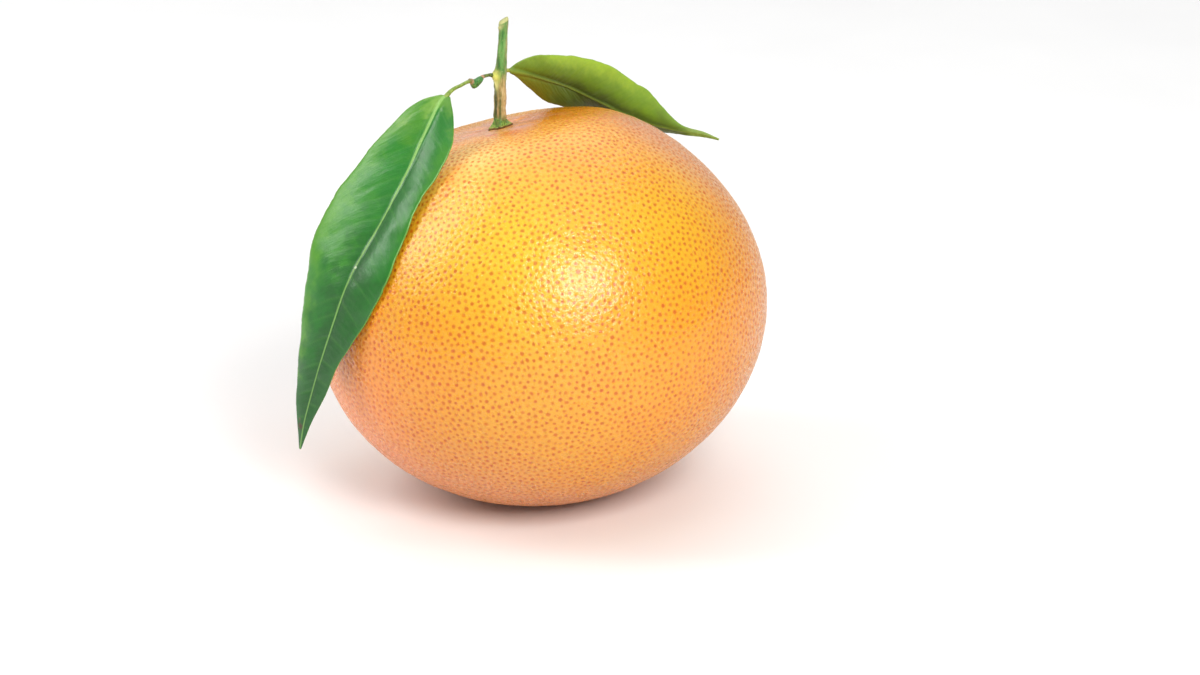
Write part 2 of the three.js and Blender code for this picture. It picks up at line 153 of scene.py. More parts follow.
def outward(obj):
    bm = bmesh.new()
    bm.from_mesh(obj.data)
    bmesh.ops.recalc_face_normals(bm, faces=bm.faces)
    bm.to_mesh(obj.data)
    bm.free()
    obj.data.update()


# ------------------------------------------------------------------ node helper
class Nodes:
    def __init__(self, name):
        self.mat = bpy.data.materials.new(name)
        self.mat.use_nodes = True
        self.tree = self.mat.node_tree
        self.tree.nodes.clear()
        self.out = self.tree.nodes.new("ShaderNodeOutputMaterial")
        self.bsdf = self.tree.nodes.new("ShaderNodeBsdfPrincipled")
        self.tree.links.new(self.bsdf.outputs[0], self.out.inputs["Surface"])
        self.coord = self.tree.nodes.new("ShaderNodeTexCoord").outputs["Object"]

    def put(self, socket, value):
        if hasattr(value, "is_output") or isinstance(value, bpy.types.NodeSocket):
            self.tree.links.new(value, socket)
        elif isinstance(value, (tuple, list)) and len(value) == 3 and socket.type == "RGBA":
            socket.default_value = (*value, 1.0)
        else:
            socket.default_value = value

    def set(self, name, value):
        self.put(self.bsdf.inputs[name], value)

    def attr(self, name, colour=False):
        node = self.tree.nodes.new("ShaderNodeAttribute")
        node.attribute_name = name
        return node.outputs["Color" if colour else "Fac"]

    def vec_attr(self, name):
        node = self.tree.nodes.new("ShaderNodeAttribute")
        node.attribute_name = name
        return node.outputs["Vector"]

    def mapping(self, scale=(1, 1, 1), vector=None, rotation=(0, 0, 0)):
        node = self.tree.nodes.new("ShaderNodeMapping")
        node.inputs["Scale"].default_value = scale
        node.inputs["Rotation"].default_value = rotation
        self.put(node.inputs["Vector"], vector or self.coord)
        return node.outputs[0]

    def noise(self, size_mm, detail=3.0, rough=0.55, vector=None, distortion=0.0):
        node = self.tree.nodes.new("ShaderNodeTexNoise")
        node.inputs["Scale"].default_value = 1.0 / (size_mm * MM)
        node.inputs["Detail"].default_value = detail
        node.inputs["Roughness"].default_value = rough
        node.inputs["Distortion"].default_value = distortion
        self.put(node.inputs["Vector"], vector or self.coord)
        return node.outputs["Fac"]

    def voronoi(self, size_mm, vector=None, feature="F1", random=1.0):
        node = self.tree.nodes.new("ShaderNodeTexVoronoi")
        node.feature = feature
        node.inputs["Scale"].default_value = 1.0 / (size_mm * MM)
        node.inputs["Randomness"].default_value = random
        self.put(node.inputs["Vector"], vector or self.coord)
        return node.outputs["Distance"]

    def math(self, op, a, b=0.5, c=0.5, clamp=False):
        node = self.tree.nodes.new("ShaderNodeMath")
        node.operation = op
        node.use_clamp = clamp
        for socket, value in zip(node.inputs, (a, b, c)):
            self.put(socket, value)
        return node.outputs[0]

    def span(self, value, lo, hi, to_lo=0.0, to_hi=1.0, smooth=False):
        node = self.tree.nodes.new("ShaderNodeMapRange")
        node.interpolation_type = "SMOOTHSTEP" if smooth else "LINEAR"
        for name, v in (("Value", value), ("From Min", lo), ("From Max", hi), ("To Min", to_lo), ("To Max", to_hi)):
            self.put(node.inputs[name], v)
        return node.outputs[0]

    def mix(self, factor, a, b, blend="MIX"):
        node = self.tree.nodes.new("ShaderNodeMix")
        node.data_type = "RGBA"
        node.blend_type = blend
        self.put(node.inputs[0], factor)
        self.put(node.inputs[6], a)
        self.put(node.inputs[7], b)
        return node.outputs[2]

    def separate(self, vector):
        node = self.tree.nodes.new("ShaderNodeSeparateXYZ")
        self.put(node.inputs[0], vector)
        return node.outputs

    def bump(self, height, strength, distance_mm, normal=None):
        node = self.tree.nodes.new("ShaderNodeBump")
        node.inputs["Strength"].default_value = strength
        node.inputs["Distance"].default_value = distance_mm * MM
        self.put(node.inputs["Height"], height)
        if normal is not None:
            self.put(node.inputs["Normal"], normal)
        return node.outputs[0]


# ------------------------------------------------------------------ fruit
GLANDS = 13800
GLAND_SEED = 7

# broad colour of the skin, partly its own tone and partly painted shade, darker and more orange towards the sides and
# underside: a direction from the fruit's middle, a colour, and how far it reaches
SKIN_TONES = [
    ((-0.25, -0.60, 0.76), (254, 210, 66), 0.30),
    ((0.10, -0.66, 0.75), (253, 208, 62), 0.32),
    ((0.36, -0.68, 0.64), (252, 202, 62), 0.28),
    ((-0.15, -0.80, 0.58), (254, 210, 62), 0.32),
    ((-0.42, -0.72, 0.55), (254, 210, 78), 0.26),
    ((0.02, -0.93, 0.36), (252, 204, 72), 0.32),
    ((-0.28, -0.90, 0.34), (253, 196, 54), 0.28),
    ((-0.50, -0.86, 0.18), (252, 186, 52), 0.26),
    ((0.53, -0.76, 0.38), (252, 192, 64), 0.30),
    ((0.44, -0.88, 0.18), (252, 186, 66), 0.30),
    ((0.71, -0.52, 0.48), (251, 184, 54), 0.28),
    ((0.70, -0.71, 0.14), (251, 170, 50), 0.28),
    ((0.94, -0.22, 0.25), (249, 176, 84), 0.30),
    ((0.86, -0.50, 0.05), (250, 172, 74), 0.26),
    ((0.69, -0.07, 0.72), (249, 190, 124), 0.22),
    ((0.54, -0.02, 0.84), (250, 190, 132), 0.18),
    ((0.50, -0.43, 0.75), (251, 186, 56), 0.26),
    ((0.28, -0.38, 0.88), (252, 188, 78), 0.26),
    ((0.02, -0.40, 0.91), (252, 192, 80), 0.26),
    ((-0.25, -0.38, 0.88), (252, 196, 92), 0.22),
    ((0.14, 0.06, 0.99), (248, 164, 54), 0.20),
    ((0.02, -0.14, 0.99), (249, 172, 68), 0.14),
    ((-0.38, -0.02, 0.92), (251, 202, 136), 0.16),
    ((-0.58, -0.81, 0.0), (251, 174, 72), 0.26),
    ((-0.70, -0.69, -0.18), (248, 166, 106), 0.26),
    ((-0.84, -0.46, -0.30), (245, 166, 120), 0.30),
    ((-0.45, -0.88, -0.12), (252, 182, 52), 0.28),
    ((-0.95, 0.10, 0.20), (248, 174, 96), 0.45),
    ((0.00, -0.97, -0.20), (250, 186, 64), 0.34),
    ((-0.30, -0.75, -0.58), (246, 170, 92), 0.34),
    ((0.55, -0.72, -0.40), (249, 174, 64), 0.36),
    ((0.95, -0.10, -0.30), (248, 168, 76), 0.36),
    ((0.0, 0.0, -1.0), (245, 166, 92), 0.45),
    ((0.0, 1.0, 0.1), (251, 196, 70), 0.60),
    ((0.6, 0.75, 0.2), (250, 186, 66), 0.50),
    ((-0.6, 0.75, -0.2), (248, 178, 82), 0.50),
    ((0.1, 0.75, -0.65), (247, 172, 90), 0.45),
]
# small marks on the skin: direction, reach in mm, colour, strength; the spots round the stem are the skin's own, the
# row of deep orange marks after them is painted shadow along the left leaf's edge
SKIN_MARKS = [
    ((-0.149, -0.150, 0.979), 1.5, (250, 142, 34), 0.85),
    ((-0.105, -0.165, 0.980), 2.0, (250, 154, 50), 0.65),
    ((-0.222, -0.118, 0.970), 0.7, (232, 88, 36), 0.85),
    ((-0.250, -0.105, 0.965), 1.0, (248, 168, 140), 0.7),
    ((-0.312, 0.105, 0.944), 0.7, (196, 104, 62), 0.7),
    ((-0.290, 0.130, 0.948), 1.2, (244, 168, 140), 0.6),
    ((-0.085, -0.070, 0.993), 2.0, (248, 182, 150), 0.7),
    ((-0.110, 0.120, 0.985), 2.2, (248, 176, 96), 0.6),
    ((-0.300, -0.020, 0.954), 2.2, (252, 200, 156), 0.5),
    # painted shadow: a deep orange band on the skin along the left leaf's edge, where the leaf shades it
    ((-0.362, -0.429, 0.828), 1.7, (255, 150, 24), 0.42),
    ((-0.392, -0.483, 0.783), 1.7, (255, 150, 24), 0.42),
    ((-0.42, -0.529, 0.737), 1.7, (255, 150, 24), 0.42),
    ((-0.468, -0.558, 0.685), 1.7, (255, 150, 24), 0.42),
    ((-0.518, -0.577, 0.632), 1.7, (255, 150, 24), 0.42),
    ((-0.558, -0.596, 0.577), 1.7, (255, 150, 24), 0.42),
    ((-0.583, -0.621, 0.524), 1.7, (255, 150, 24), 0.42),
    ((-0.596, -0.653, 0.467), 1.7, (255, 150, 24), 0.42),
    ((-0.605, -0.685, 0.405), 1.7, (255, 150, 24), 0.42),
    ((-0.629, -0.701, 0.336), 1.7, (255, 150, 24), 0.42),
    ((-0.656, -0.7, 0.282), 1.7, (255, 150, 24), 0.42),
    ((-0.686, -0.693, 0.221), 1.7, (255, 150, 24), 0.42),
    ((-0.721, -0.675, 0.156), 1.7, (255, 150, 24), 0.42),
]


def gland_directions():
    rng = np.random.default_rng(GLAND_SEED)
    i = np.arange(GLANDS) + 0.5
    phi, theta = np.arccos(1 - 2 * i / GLANDS), np.pi * (1 + 5 ** 0.5) * i
    d = np.stack([np.cos(theta) * np.sin(phi), np.sin(theta) * np.sin(phi), np.cos(phi)], 1)
    gap = math.sqrt(4 * math.pi / GLANDS)
    d = unit(d + rng.normal(0, 0.50 * gap, d.shape))
    for _ in range(5):
        tree = kdtree.KDTree(GLANDS)
        for k, p in enumerate(d):
            tree.insert(p, k)
        tree.balance()
        push = np.zeros_like(d)
        for k in range(GLANDS):
            for _, other, dist in tree.find_n(d[k], 8)[1:]:
                if dist < 1.3 * gap:
                    push[k] += (d[k] - d[other]) / (dist + 1e-9) * (1.3 * gap - dist)
        d = unit(d + 0.22 * push)
    return d, rng


def make_fruit():
    d, rng = gland_directions()
    bm = bmesh.new()
    for p in d:
        bm.verts.new(p)
    bmesh.ops.convex_hull(bm, input=bm.verts)
    bm.verts.index_update()
    tris = np.array([[v.index for v in f.verts] for f in bm.faces])
    bm.free()
    a, b, c = d[tris[:, 0]], d[tris[:, 1]], d[tris[:, 2]]
    flip = np.einsum("ij,ij->i", np.cross(b - a, c - a), a + b + c) < 0
    tris[flip] = tris[flip][:, ::-1]

    size = rng.uniform(0.62, 0.88, GLANDS)                  # reach of a gland's dent, mm
    depth = rng.uniform(0.13, 0.23, GLANDS)
    strength = np.clip(rng.normal(0.80, 0.16, GLANDS), 0.36, 1.0)
    rnd = rng.uniform(0, 1, GLANDS)
    polar = np.arccos(np.clip(d @ STEM_AXIS, -1, 1)) * 48
    near = smoothstep(5.0, 19.0, polar)                     # glands fade round the stem
    under = np.arccos(np.clip(d @ BLOSSOM_AXIS, -1, 1)) * 48
    near = near * smoothstep(1.5, 5.0, under)
    depth, strength = depth * (0.30 + 0.70 * near), strength * (0.22 + 0.78 * near)

    dirs, gland, rand, sink = list(d), list(strength), list(rnd), list(-depth)
    ring = {}
    position = FRUIT_CENTRE + d * skin_radius(d)[:, None]

    def rim(i, j):
        key = (i, j)
        if key not in ring:
            t = min(0.485, size[i] / np.linalg.norm(position[i] - position[j]))
            v = d[i] * (1 - t) + d[j] * t
            ring[key] = len(dirs)
            dirs.append(v / np.linalg.norm(v))
            gland.append(0.0)
            rand.append(rnd[i])
            sink.append(-0.08 * depth[i])
        return ring[key]

    faces = []
    for i, j, k in tris:
        ij, ji, jk, kj, ki, ik = rim(i, j), rim(j, i), rim(j, k), rim(k, j), rim(k, i), rim(i, k)
        faces += [(i, ij, ik), (j, jk, ji), (k, ki, kj)]
        faces += [(ij, ji, jk), (ij, jk, kj), (ij, kj, ki), (ij, ki, ik)]
    dirs, sink = np.array(dirs), np.array(sink)
    pts = dirs * skin_radius(dirs)[:, None]
    wave = 0.16 * lumps(pts, 13.0, 3.1) + 0.09 * lumps(pts, 5.0, 8.2) + 0.060 * lumps(pts, 1.9, 5.5)
    pts = pts + dirs * (sink + wave)[:, None] + FRUIT_CENTRE
    z = pts[:, 2]
    pts[:, 2] = 0.5 * (z + np.sqrt(z * z + 0.09)) - 0.01    # the flat resting spot
    pts[:, 2] = np.maximum(pts[:, 2], 0.0)

    obj = new_mesh("fruit_skin", pts, faces)
    add_float(obj, "gland", gland)
    add_float(obj, "gland_random", rand)

    # broad colour
    tone, total = np.zeros((len(dirs), 3)), np.zeros(len(dirs))
    for direction, colour, reach in SKIN_TONES:
        angle = np.arccos(np.clip(dirs @ unit(direction), -1, 1))
        w = np.exp(-(angle / reach) ** 2) + 1e-5
        tone += w[:, None] * np.array(srgb(*colour))
        total += w
    tone = tone / total[:, None]
    around = np.arctan2(dirs @ SIDE_Y, dirs @ SIDE_X)
    out = np.arccos(np.clip(dirs @ STEM_AXIS, -1, 1)) * 48
    # pale pink and orange streaks run out from the stem
    close = out < 30
    streak = np.zeros(len(dirs))
    fan = np.stack([np.cos(around) * 3.4, np.sin(around) * 3.4, out / 9.0], 1)[close]
    streak[close] = lumps(fan, 1.0, 1.3) + 0.5 * lumps(fan, 0.45, 4.0)
    pink = smoothstep(-0.10, 0.42, streak) * np.exp(-((out - 6.0) / 7.5) ** 2)
    amber = smoothstep(0.06, 0.50, -streak) * np.exp(-((out - 5.0) / 7.0) ** 2)
    tone += (np.array(srgb(252, 196, 160)) - tone) * (0.75 * pink)[:, None]
    tone += (np.array(srgb(248, 152, 62)) - tone) * (0.70 * amber)[:, None]
    for direction, reach, colour, amount in SKIN_MARKS:
        angle = np.arccos(np.clip(dirs @ unit(direction), -1, 1)) * 46
        w = amount * np.exp(-(angle / reach) ** 2)
        tone += (np.array(srgb(*colour)) - tone) * w[:, None]
    def about(direction, reach):
        return np.exp(-(np.arccos(np.clip(dirs @ unit(direction), -1, 1)) / reach) ** 2)

    # the skin's colour scaled from place to place, red, then green, then blue: mostly painted light, lifting the skin
    # round the stem, at the crown, behind and at the lower left where less lamp light falls, and taking a little red
    # off the front where the key lamp falls; some is the skin's own yellower and pinker patches
    # painted light: brighter and pinker round the stem, where the leaf and stem shade the skin
    pale_and_shade_lift = about((-0.31, -0.32, 0.89), 0.21)
    crown = about((0.12, -0.20, 0.97), 0.16)
    behind = about((0.10, 0.98, 0.15), 0.9)
    red = 0.745 - 0.04 * about((-0.40, -0.62, 0.67), 0.45) + 0.40 * pale_and_shade_lift + 0.12 * crown \
        + 0.22 * about((-0.84, -0.46, -0.30), 0.4) + 0.16 * behind
    green = 0.68 + 0.10 * about((-0.10, -0.85, 0.50), 0.25) + 0.10 * about((0.55, -0.65, 0.50), 0.28) \
        + 0.06 * about((0.67, -0.33, 0.66), 0.25) + 0.36 * pale_and_shade_lift + 0.18 * crown \
        - 0.05 * about((-0.36, -0.92, 0.18), 0.2) + 0.10 * about((-0.84, -0.46, -0.30), 0.35) \
        - 0.03 * about((0.15, -0.51, 0.85), 0.15) + 0.02 * about((-0.50, -0.68, 0.50), 0.2) + 0.10 * behind
    blue = 0.026 + 0.016 * about((0.88, -0.42, 0.1), 0.6) - 0.12 * pale_and_shade_lift - 0.03 * crown \
        + 0.07 * about((-0.84, -0.46, -0.30), 0.4)
    tone = tone * np.stack([red, green, np.full(len(dirs), 0.90)], 1) - np.stack([0 * red, 0 * red, blue], 1)
    tone = np.clip(tone, [0.05, 0.02, 0.006], 0.93)
    add_colour(obj, "skin_tone", tone)
    scar = np.arccos(np.clip(dirs @ BLOSSOM_AXIS, -1, 1)) * 48
    add_float(obj, "scar", np.exp(-(scar / 1.5) ** 2))
    obj.data.materials.append(skin_material())
    return obj


def skin_material():
    m = Nodes("grapefruit skin")
    tone = m.attr("skin_tone", colour=True)
    # slow mottling towards orange, quicker mottling towards pale
    slow = m.span(m.noise(14, 3, 0.5), 0.35, 0.68, 0, 1, True)
    quick = m.span(m.noise(3.0, 3, 0.6), 0.40, 0.66, 0, 1, True)
    fine = m.span(m.noise(0.75, 3, 0.65), 0.40, 0.66, 0, 1, True)
    base = m.mix(m.math("MULTIPLY", slow, 0.30), tone, m.mix(1.0, tone, (1.0, 0.86, 0.80), "MULTIPLY"))
    base = m.mix(m.math("MULTIPLY", quick, 0.30), base, m.mix(1.0, base, (1.0, 0.84, 0.66), "MULTIPLY"))
    base = m.mix(m.math("MULTIPLY", fine, 0.26), base, m.mix(1.0, base, (0.98, 0.80, 0.62), "MULTIPLY"))
    # oil glands: small sunken dots with soft edges, dark orange, some browner than others
    gland = m.attr("gland")
    dot = m.span(gland, 0.01, 0.60, 0, 1, True)
    ratio = m.mix(m.attr("gland_random"), (0.86, 0.59, 0.24), (0.73, 0.32, 0.08))
    colour = m.mix(dot, base, m.mix(1.0, base, ratio, "MULTIPLY"))
    # fainter pores between them
    pore = m.span(m.voronoi(0.95), 0.06, 0.34, 0.42, 0, True)
    colour = m.mix(pore, colour, m.mix(1.0, colour, (0.96, 0.72, 0.52), "MULTIPLY"))
    scar = m.span(m.attr("scar"), 0.25, 0.8, 0, 1, True)
    colour = m.mix(scar, colour, srgb(128, 92, 54))
    m.set("Base Color", colour)
    rough = m.math("ADD", m.span(m.noise(2.4, 3, 0.6), 0.3, 0.7, 0.22, 0.34), m.math("MULTIPLY", dot, 0.08))
    m.set("Roughness", rough)
    m.set("Specular IOR Level", 0.54)
    m.set("Coat Weight", 0.14)
    m.set("Coat Roughness", 0.14)
    swell = m.noise(1.1, 2, 0.5)
    pores = m.noise(0.42, 3, 0.6)
    n1 = m.bump(swell, 1.0, 0.30)
    n2 = m.bump(pores, 0.6, 0.06, n1)
    m.set("Normal", n2)
    return m.mat


# ------------------------------------------------------------------ sweeps for the stem pieces
def catmull(rows, t):
    p = np.asarray(rows, float)
    n = len(p) - 1
    s = min(max(t * n, 0.0), n - 1e-9)
    i, u = int(s), s - int(s)

    def at(j):
        return p[j] if 0 <= j <= n else (2 * p[0] - p[1] if j < 0 else 2 * p[n] - p[n - 1])

    a, b, c, d = at(i - 1), at(i), at(i + 1), at(i + 2)
    return 0.5 * (2 * b + (c - a) * u + (2 * a - 5 * b + 4 * c - d) * u * u + (3 * b - a - 3 * c + d) * u ** 3)


def sweep(name, rows, rings, segments, radius=None, move=None, cap_rings=3, cap_bulge=(0.25, 0.25), side=(1, 0, 0)):
    """A closed round piece through rows of [x, y, z, r], with rounded ends."""
    samples = [catmull(rows, i / (rings - 1)) for i in range(rings)]
    c = np.array([s[:3] for s in samples])
    r = np.array([s[3] for s in samples])
    tang = unit(np.gradient(c, axis=0))
    side = np.asarray(side, float)
    pts, share, angle, grid = [], [], [], []

    def ring(centre, t, s, rad, at):
        up = np.cross(t, s)
        row = []
        for j in range(segments):
            phi = 2 * math.pi * j / segments
            direction = s * math.cos(phi) + up * math.sin(phi)
            k = radius(direction, at, centre, phi) if radius else 1.0
            p = centre + direction * rad * k
            if move:
                p = move(p, centre, at)
            row.append(len(pts))
            pts.append(p)
            share.append(at)
            angle.append(phi)
        return row

    frames = []
    for t in tang:
        side = unit(side - t * (side @ t))
        frames.append(side)
    for q in range(cap_rings):
        w = math.sin(math.pi / 2 * (q + 1) / (cap_rings + 1))
        h = 1 - math.cos(math.pi / 2 * (q + 1) / (cap_rings + 1))
        grid.append(ring(c[0] - tang[0] * r[0] * cap_bulge[0] * (1 - h), tang[0], frames[0], r[0] * (0.15 + 0.85 * w), 0.0))
    for i in range(rings):
        grid.append(ring(c[i], tang[i], frames[i], r[i], i / (rings - 1)))
    for q in reversed(range(cap_rings)):
        w = math.sin(math.pi / 2 * (q + 1) / (cap_rings + 1))
        h = 1 - math.cos(math.pi / 2 * (q + 1) / (cap_rings + 1))
        grid.append(ring(c[-1] + tang[-1] * r[-1] * cap_bulge[1] * (1 - h), tang[-1], frames[-1], r[-1] * (0.15 + 0.85 * w), 1.0))
    faces = []
    for i in range(len(grid) - 1):
        for j in range(segments):
            k = (j + 1) % segments
            faces.append((grid[i][j], grid[i][k], grid[i + 1][k], grid[i + 1][j]))
    for row, at in ((grid[0], 0.0), (grid[-1], 1.0)):
        mid = len(pts)
        pts.append(np.mean([pts[q] for q in row], axis=0))
        share.append(at)
        angle.append(0.0)
        for j in range(segments):
            k = (j + 1) % segments
            faces.append((mid, row[k], row[j]) if at == 0.0 else (mid, row[j], row[k]))
    obj = new_mesh(name, pts, faces)
    add_float(obj, "share", share)
    outward(obj)
    return obj, np.array(pts), np.array(share)


STEM = [
    [-9.17, 4.22, 89.95, 1.78], [-9.16, 4.21, 91.0, 1.62], [-9.16, 4.20, 92.0, 1.50],
    [-9.13, 4.18, 94.0, 1.44], [-9.07, 4.16, 96.4, 1.43], [-9.0, 4.13, 98.6, 1.38],
    [-9.03, 4.1, 100.6, 1.39], [-8.96, 4.08, 102.1, 1.42], [-8.9, 4.07, 103.3, 1.43],
    [-8.73, 4.05, 105.0, 1.33], [-8.57, 4.01, 107.5, 1.20], [-8.33, 3.97, 110.5, 1.13],
    [-8.2, 3.92, 113.5, 1.06], [-8.13, 3.9, 114.9, 1.15], [-8.1, 3.88, 115.9, 1.20], [-8.12, 3.88, 116.5, 1.06]]
SIDE_TWIG = [
    [-10.3, 3.62, 102.85, 0.66], [-10.85, 3.25, 102.95, 0.52], [-11.3, 2.85, 103.12, 0.42],
    [-11.86, 2.15, 103.25, 0.40], [-12.5, 1.35, 103.33, 0.42], [-13.05, 0.72, 103.32, 0.47],
    [-13.4, 0.28, 103.18, 0.50]]
TWIG_BUD = [
    [-13.2, 0.52, 103.24, 0.45], [-13.55, 0.08, 103.05, 0.74], [-14.15, -0.76, 102.84, 0.92],
    [-14.85, -1.6, 102.76, 0.95], [-15.35, -2.24, 102.98, 0.76], [-15.7, -2.66, 103.28, 0.48]]
LEFT_PETIOLE = [
    [-15.55, -2.45, 103.35, 0.46], [-15.95, -2.98, 103.38, 0.54], [-16.4, -3.6, 103.34, 0.43],
    [-16.9, -4.35, 103.36, 0.41], [-18.14, -5.84, 103.07, 0.42],
    [-19.45, -7.15, 102.80, 0.44], [-20.3, -8.05, 102.40, 0.49], [-20.88, -8.85, 102.02, 0.55],
    [-21.4, -9.5, 101.55, 0.55], [-21.9, -10.1, 101.0, 0.42]]
RIGHT_PETIOLE = [
    [-8.55, 5.0, 103.3, 0.62], [-8.12, 5.80, 103.2, 0.52], [-7.67, 6.56, 103.1, 0.46], [-7.22, 7.32, 102.96, 0.48],
    [-6.8, 7.85, 102.8, 0.46]]
CUSHION = (102.6, 1.15, 0.62)


def make_stem():
    def ridge(direction, share, centre, phi):
        around = math.atan2(direction[1], direction[0])
        low = 1 - smoothstep(99, 105, centre[2])
        cushion = math.exp(-((centre[2] - CUSHION[0]) / CUSHION[1]) ** 2) * max(0.0, -0.86 * direction[0] - 0.51 * direction[1]) ** 2.2
        tail = math.exp(-((centre[2] - 100.6) / 1.2) ** 2) * max(0.0, -0.66 * direction[0] - 0.75 * direction[1]) ** 7
        knob = math.exp(-((centre[2] - 114.6) / 0.5) ** 2) * max(0.0, -direction[0]) ** 3
        p = Vector((centre[0] + direction[0] * 1.4, centre[1] + direction[1] * 1.4, centre[2] * 0.24))
        bark = noise.noise(p * 1.9) * (0.030 + 0.085 * low) + noise.noise(p * 4.6) * (0.014 + 0.05 * low)
        knots = noise.noise(Vector((direction[0] * 1.6, direction[1] * 1.6, centre[2] * 0.9))) * (0.04 + 0.03 * low)
        groove = -0.13 * max(0.0, math.cos(around + 2.42)) ** 14 - 0.12 * max(0.0, math.cos(around + 1.55)) ** 14
        groove *= float(smoothstep(90.5, 92.5, centre[2])) * (1 - float(smoothstep(96.2, 98.4, centre[2])))
        foot = math.exp(-((centre[2] - 91.0) / 1.0) ** 2) * 0.05 * math.cos(5 * around + 0.6)
        return 1 + (0.02 + 0.02 * low) * math.cos(5 * around + 0.35 * centre[2]) + bark + knots + foot + groove \
            + CUSHION[2] * cushion + 0.16 * tail + 0.13 * knob

    def cut(p, centre, share):
        top = float(smoothstep(113.6, 116.4, p[2]))
        p = np.array(p)
        p[2] += 0.58 * (p[0] - centre[0]) * top
        return p

    obj, pts, share = sweep("stem_bark", STEM, 190, 60, ridge, cut, 4, (0.0, 0.10))
    x, y, z = pts.T
    cx = np.interp(z, [r[2] for r in STEM], [r[0] for r in STEM])
    cy = np.interp(z, [r[2] for r in STEM], [r[1] for r in STEM])
    out = np.hypot(x - cx, y - cy)
    around = np.arctan2(y - cy, x - cx)
    ring = np.stack([np.cos(around) * 1.3, np.sin(around) * 1.3, z * 0.16], 1)
    slow, quick = lumps(ring, 0.75, 2.0), lumps(ring, 0.28, 5.0)
    blotch = lumps(np.stack([x, y, z * 0.6], 1), 0.9, 9.0)

    def near(angle, power):
        return np.clip(np.cos(around - angle), 0, 1) ** power

    def paint(rgb, tint, w):
        return rgb + (np.array(srgb(*tint)) - rgb) * np.clip(w, 0, 1)[:, None]

    rgb = np.ones((len(z), 3)) * np.array(srgb(78, 142, 58))
    rgb = paint(rgb, (128, 178, 96), smoothstep(-0.1, 0.5, slow) * 0.8)
    rgb = paint(rgb, (44, 100, 36), smoothstep(0.05, 0.45, -slow) * 0.8)
    rgb = paint(rgb, (170, 158, 108), near(-0.35, 5) * smoothstep(-0.5, 0.3, quick) * 0.9)      # tan right edge
    rgb = paint(rgb, (150, 128, 84), near(-2.75, 6) * smoothstep(-0.2, 0.4, quick) * 0.75)      # brown left edge
    # below the bud cushion the bark is tan on the right and dark green on the left
    edge = z + 1.6 * np.sin(around * 2 + 0.6) + 1.1 * slow
    low = 1 - smoothstep(99.6, 102.6, edge)
    bark = np.ones((len(z), 3)) * np.array(srgb(202, 180, 118))
    bark = paint(bark, (222, 196, 146), smoothstep(0.0, 0.5, quick) * 0.7)
    bark = paint(bark, (158, 124, 80), smoothstep(0.10, 0.5, -quick) * 0.7)
    bark = paint(bark, (84, 92, 36), near(-2.45, 2.5) * smoothstep(-0.55, 0.15, slow + 0.15) * 0.95)
    bark = paint(bark, (58, 76, 26), near(-2.42, 30) * (1 - smoothstep(97.0, 99.5, z)))
    bark = paint(bark, (62, 88, 28), near(-1.55, 36) * (1 - smoothstep(96.6, 98.4, z)) * 0.95)
    bark = paint(bark, (200, 168, 116), near(-1.95, 40) * (1 - smoothstep(97.0, 99.0, z)) * 0.8)
    bark = paint(bark, (202, 170, 130), near(-0.25, 6) * 0.75)
    bark = paint(bark, (110, 112, 46), smoothstep(0.12, 0.42, blotch) * 0.55)
    rgb = rgb + (bark - rgb) * low[:, None]
    foot = 1 - smoothstep(91.2, 93.6, z + 0.8 * slow)
    rgb = paint(rgb, (78, 112, 38), foot * 0.9)
    rgb = paint(rgb, (126, 168, 84), foot * smoothstep(0.0, 0.4, slow) * 0.6)
    cushion = np.exp(-((z - 102.7) / 1.25) ** 2) * near(-2.65, 2.2) * 1.7
    tail = np.exp(-((z - 100.7) / 1.3) ** 2) * near(-2.29, 11) * 1.3
    rgb = paint(rgb, (222, 222, 104), cushion)
    rgb = paint(rgb, (232, 232, 150), tail)
    rgb = paint(rgb, (176, 160, 76), np.exp(-((z - 103.9) / 0.35) ** 2) * near(-2.65, 2.5) * 0.6)
    cutface = smoothstep(115.75, 116.05, z - 0.50 * (x - cx)) * (out < 1.3)
    rgb = paint(rgb, (196, 196, 132), cutface)
    rgb = paint(rgb, (158, 160, 88), cutface * np.exp(-((out - 0.62) / 0.25) ** 2) * 0.7)
    rgb = paint(rgb, (226, 222, 176), cutface * np.exp(-(out / 0.34) ** 2) * 0.8)
    rgb = paint(rgb, (206, 200, 136), np.exp(-((z - 0.5 * (x - cx) - 115.2) / 0.75) ** 2) * near(-2.6, 1.2) * 0.85)
    rgb = paint(rgb, (150, 128, 92), np.exp(-((z - 0.5 * (x - cx) - 114.3) / 0.3) ** 2) * near(3.0, 4) * 0.7)
    add_colour(obj, "bark", rgb)
    obj.data.materials.append(stem_material())
    return obj


def stem_material():
    m = Nodes("stem bark")
    streak_space = m.mapping((1, 1, 0.14))
    bark = m.attr("bark", colour=True)
    fine = m.span(m.noise(0.28, 4, 0.65, m.mapping((1, 1, 0.22))), 0.36, 0.64, 0, 1, True)
    speck = m.span(m.noise(0.42, 3, 0.6), 0.56, 0.70, 0, 1, True)
    colour = m.mix(m.math("MULTIPLY", fine, 0.55), bark, m.mix(1.0, bark, (0.55, 0.60, 0.48), "MULTIPLY"))
    colour = m.mix(m.math("MULTIPLY", speck, 0.30), colour, srgb(198, 176, 124))
    m.set("Base Color", colour)
    m.set("Roughness", m.span(fine, 0, 1, 0.46, 0.64))
    n1 = m.bump(m.noise(0.55, 4, 0.6, streak_space), 0.75, 0.12)
    m.set("Normal", m.bump(m.noise(0.16, 3, 0.6), 0.4, 0.03, n1))
    return m.mat


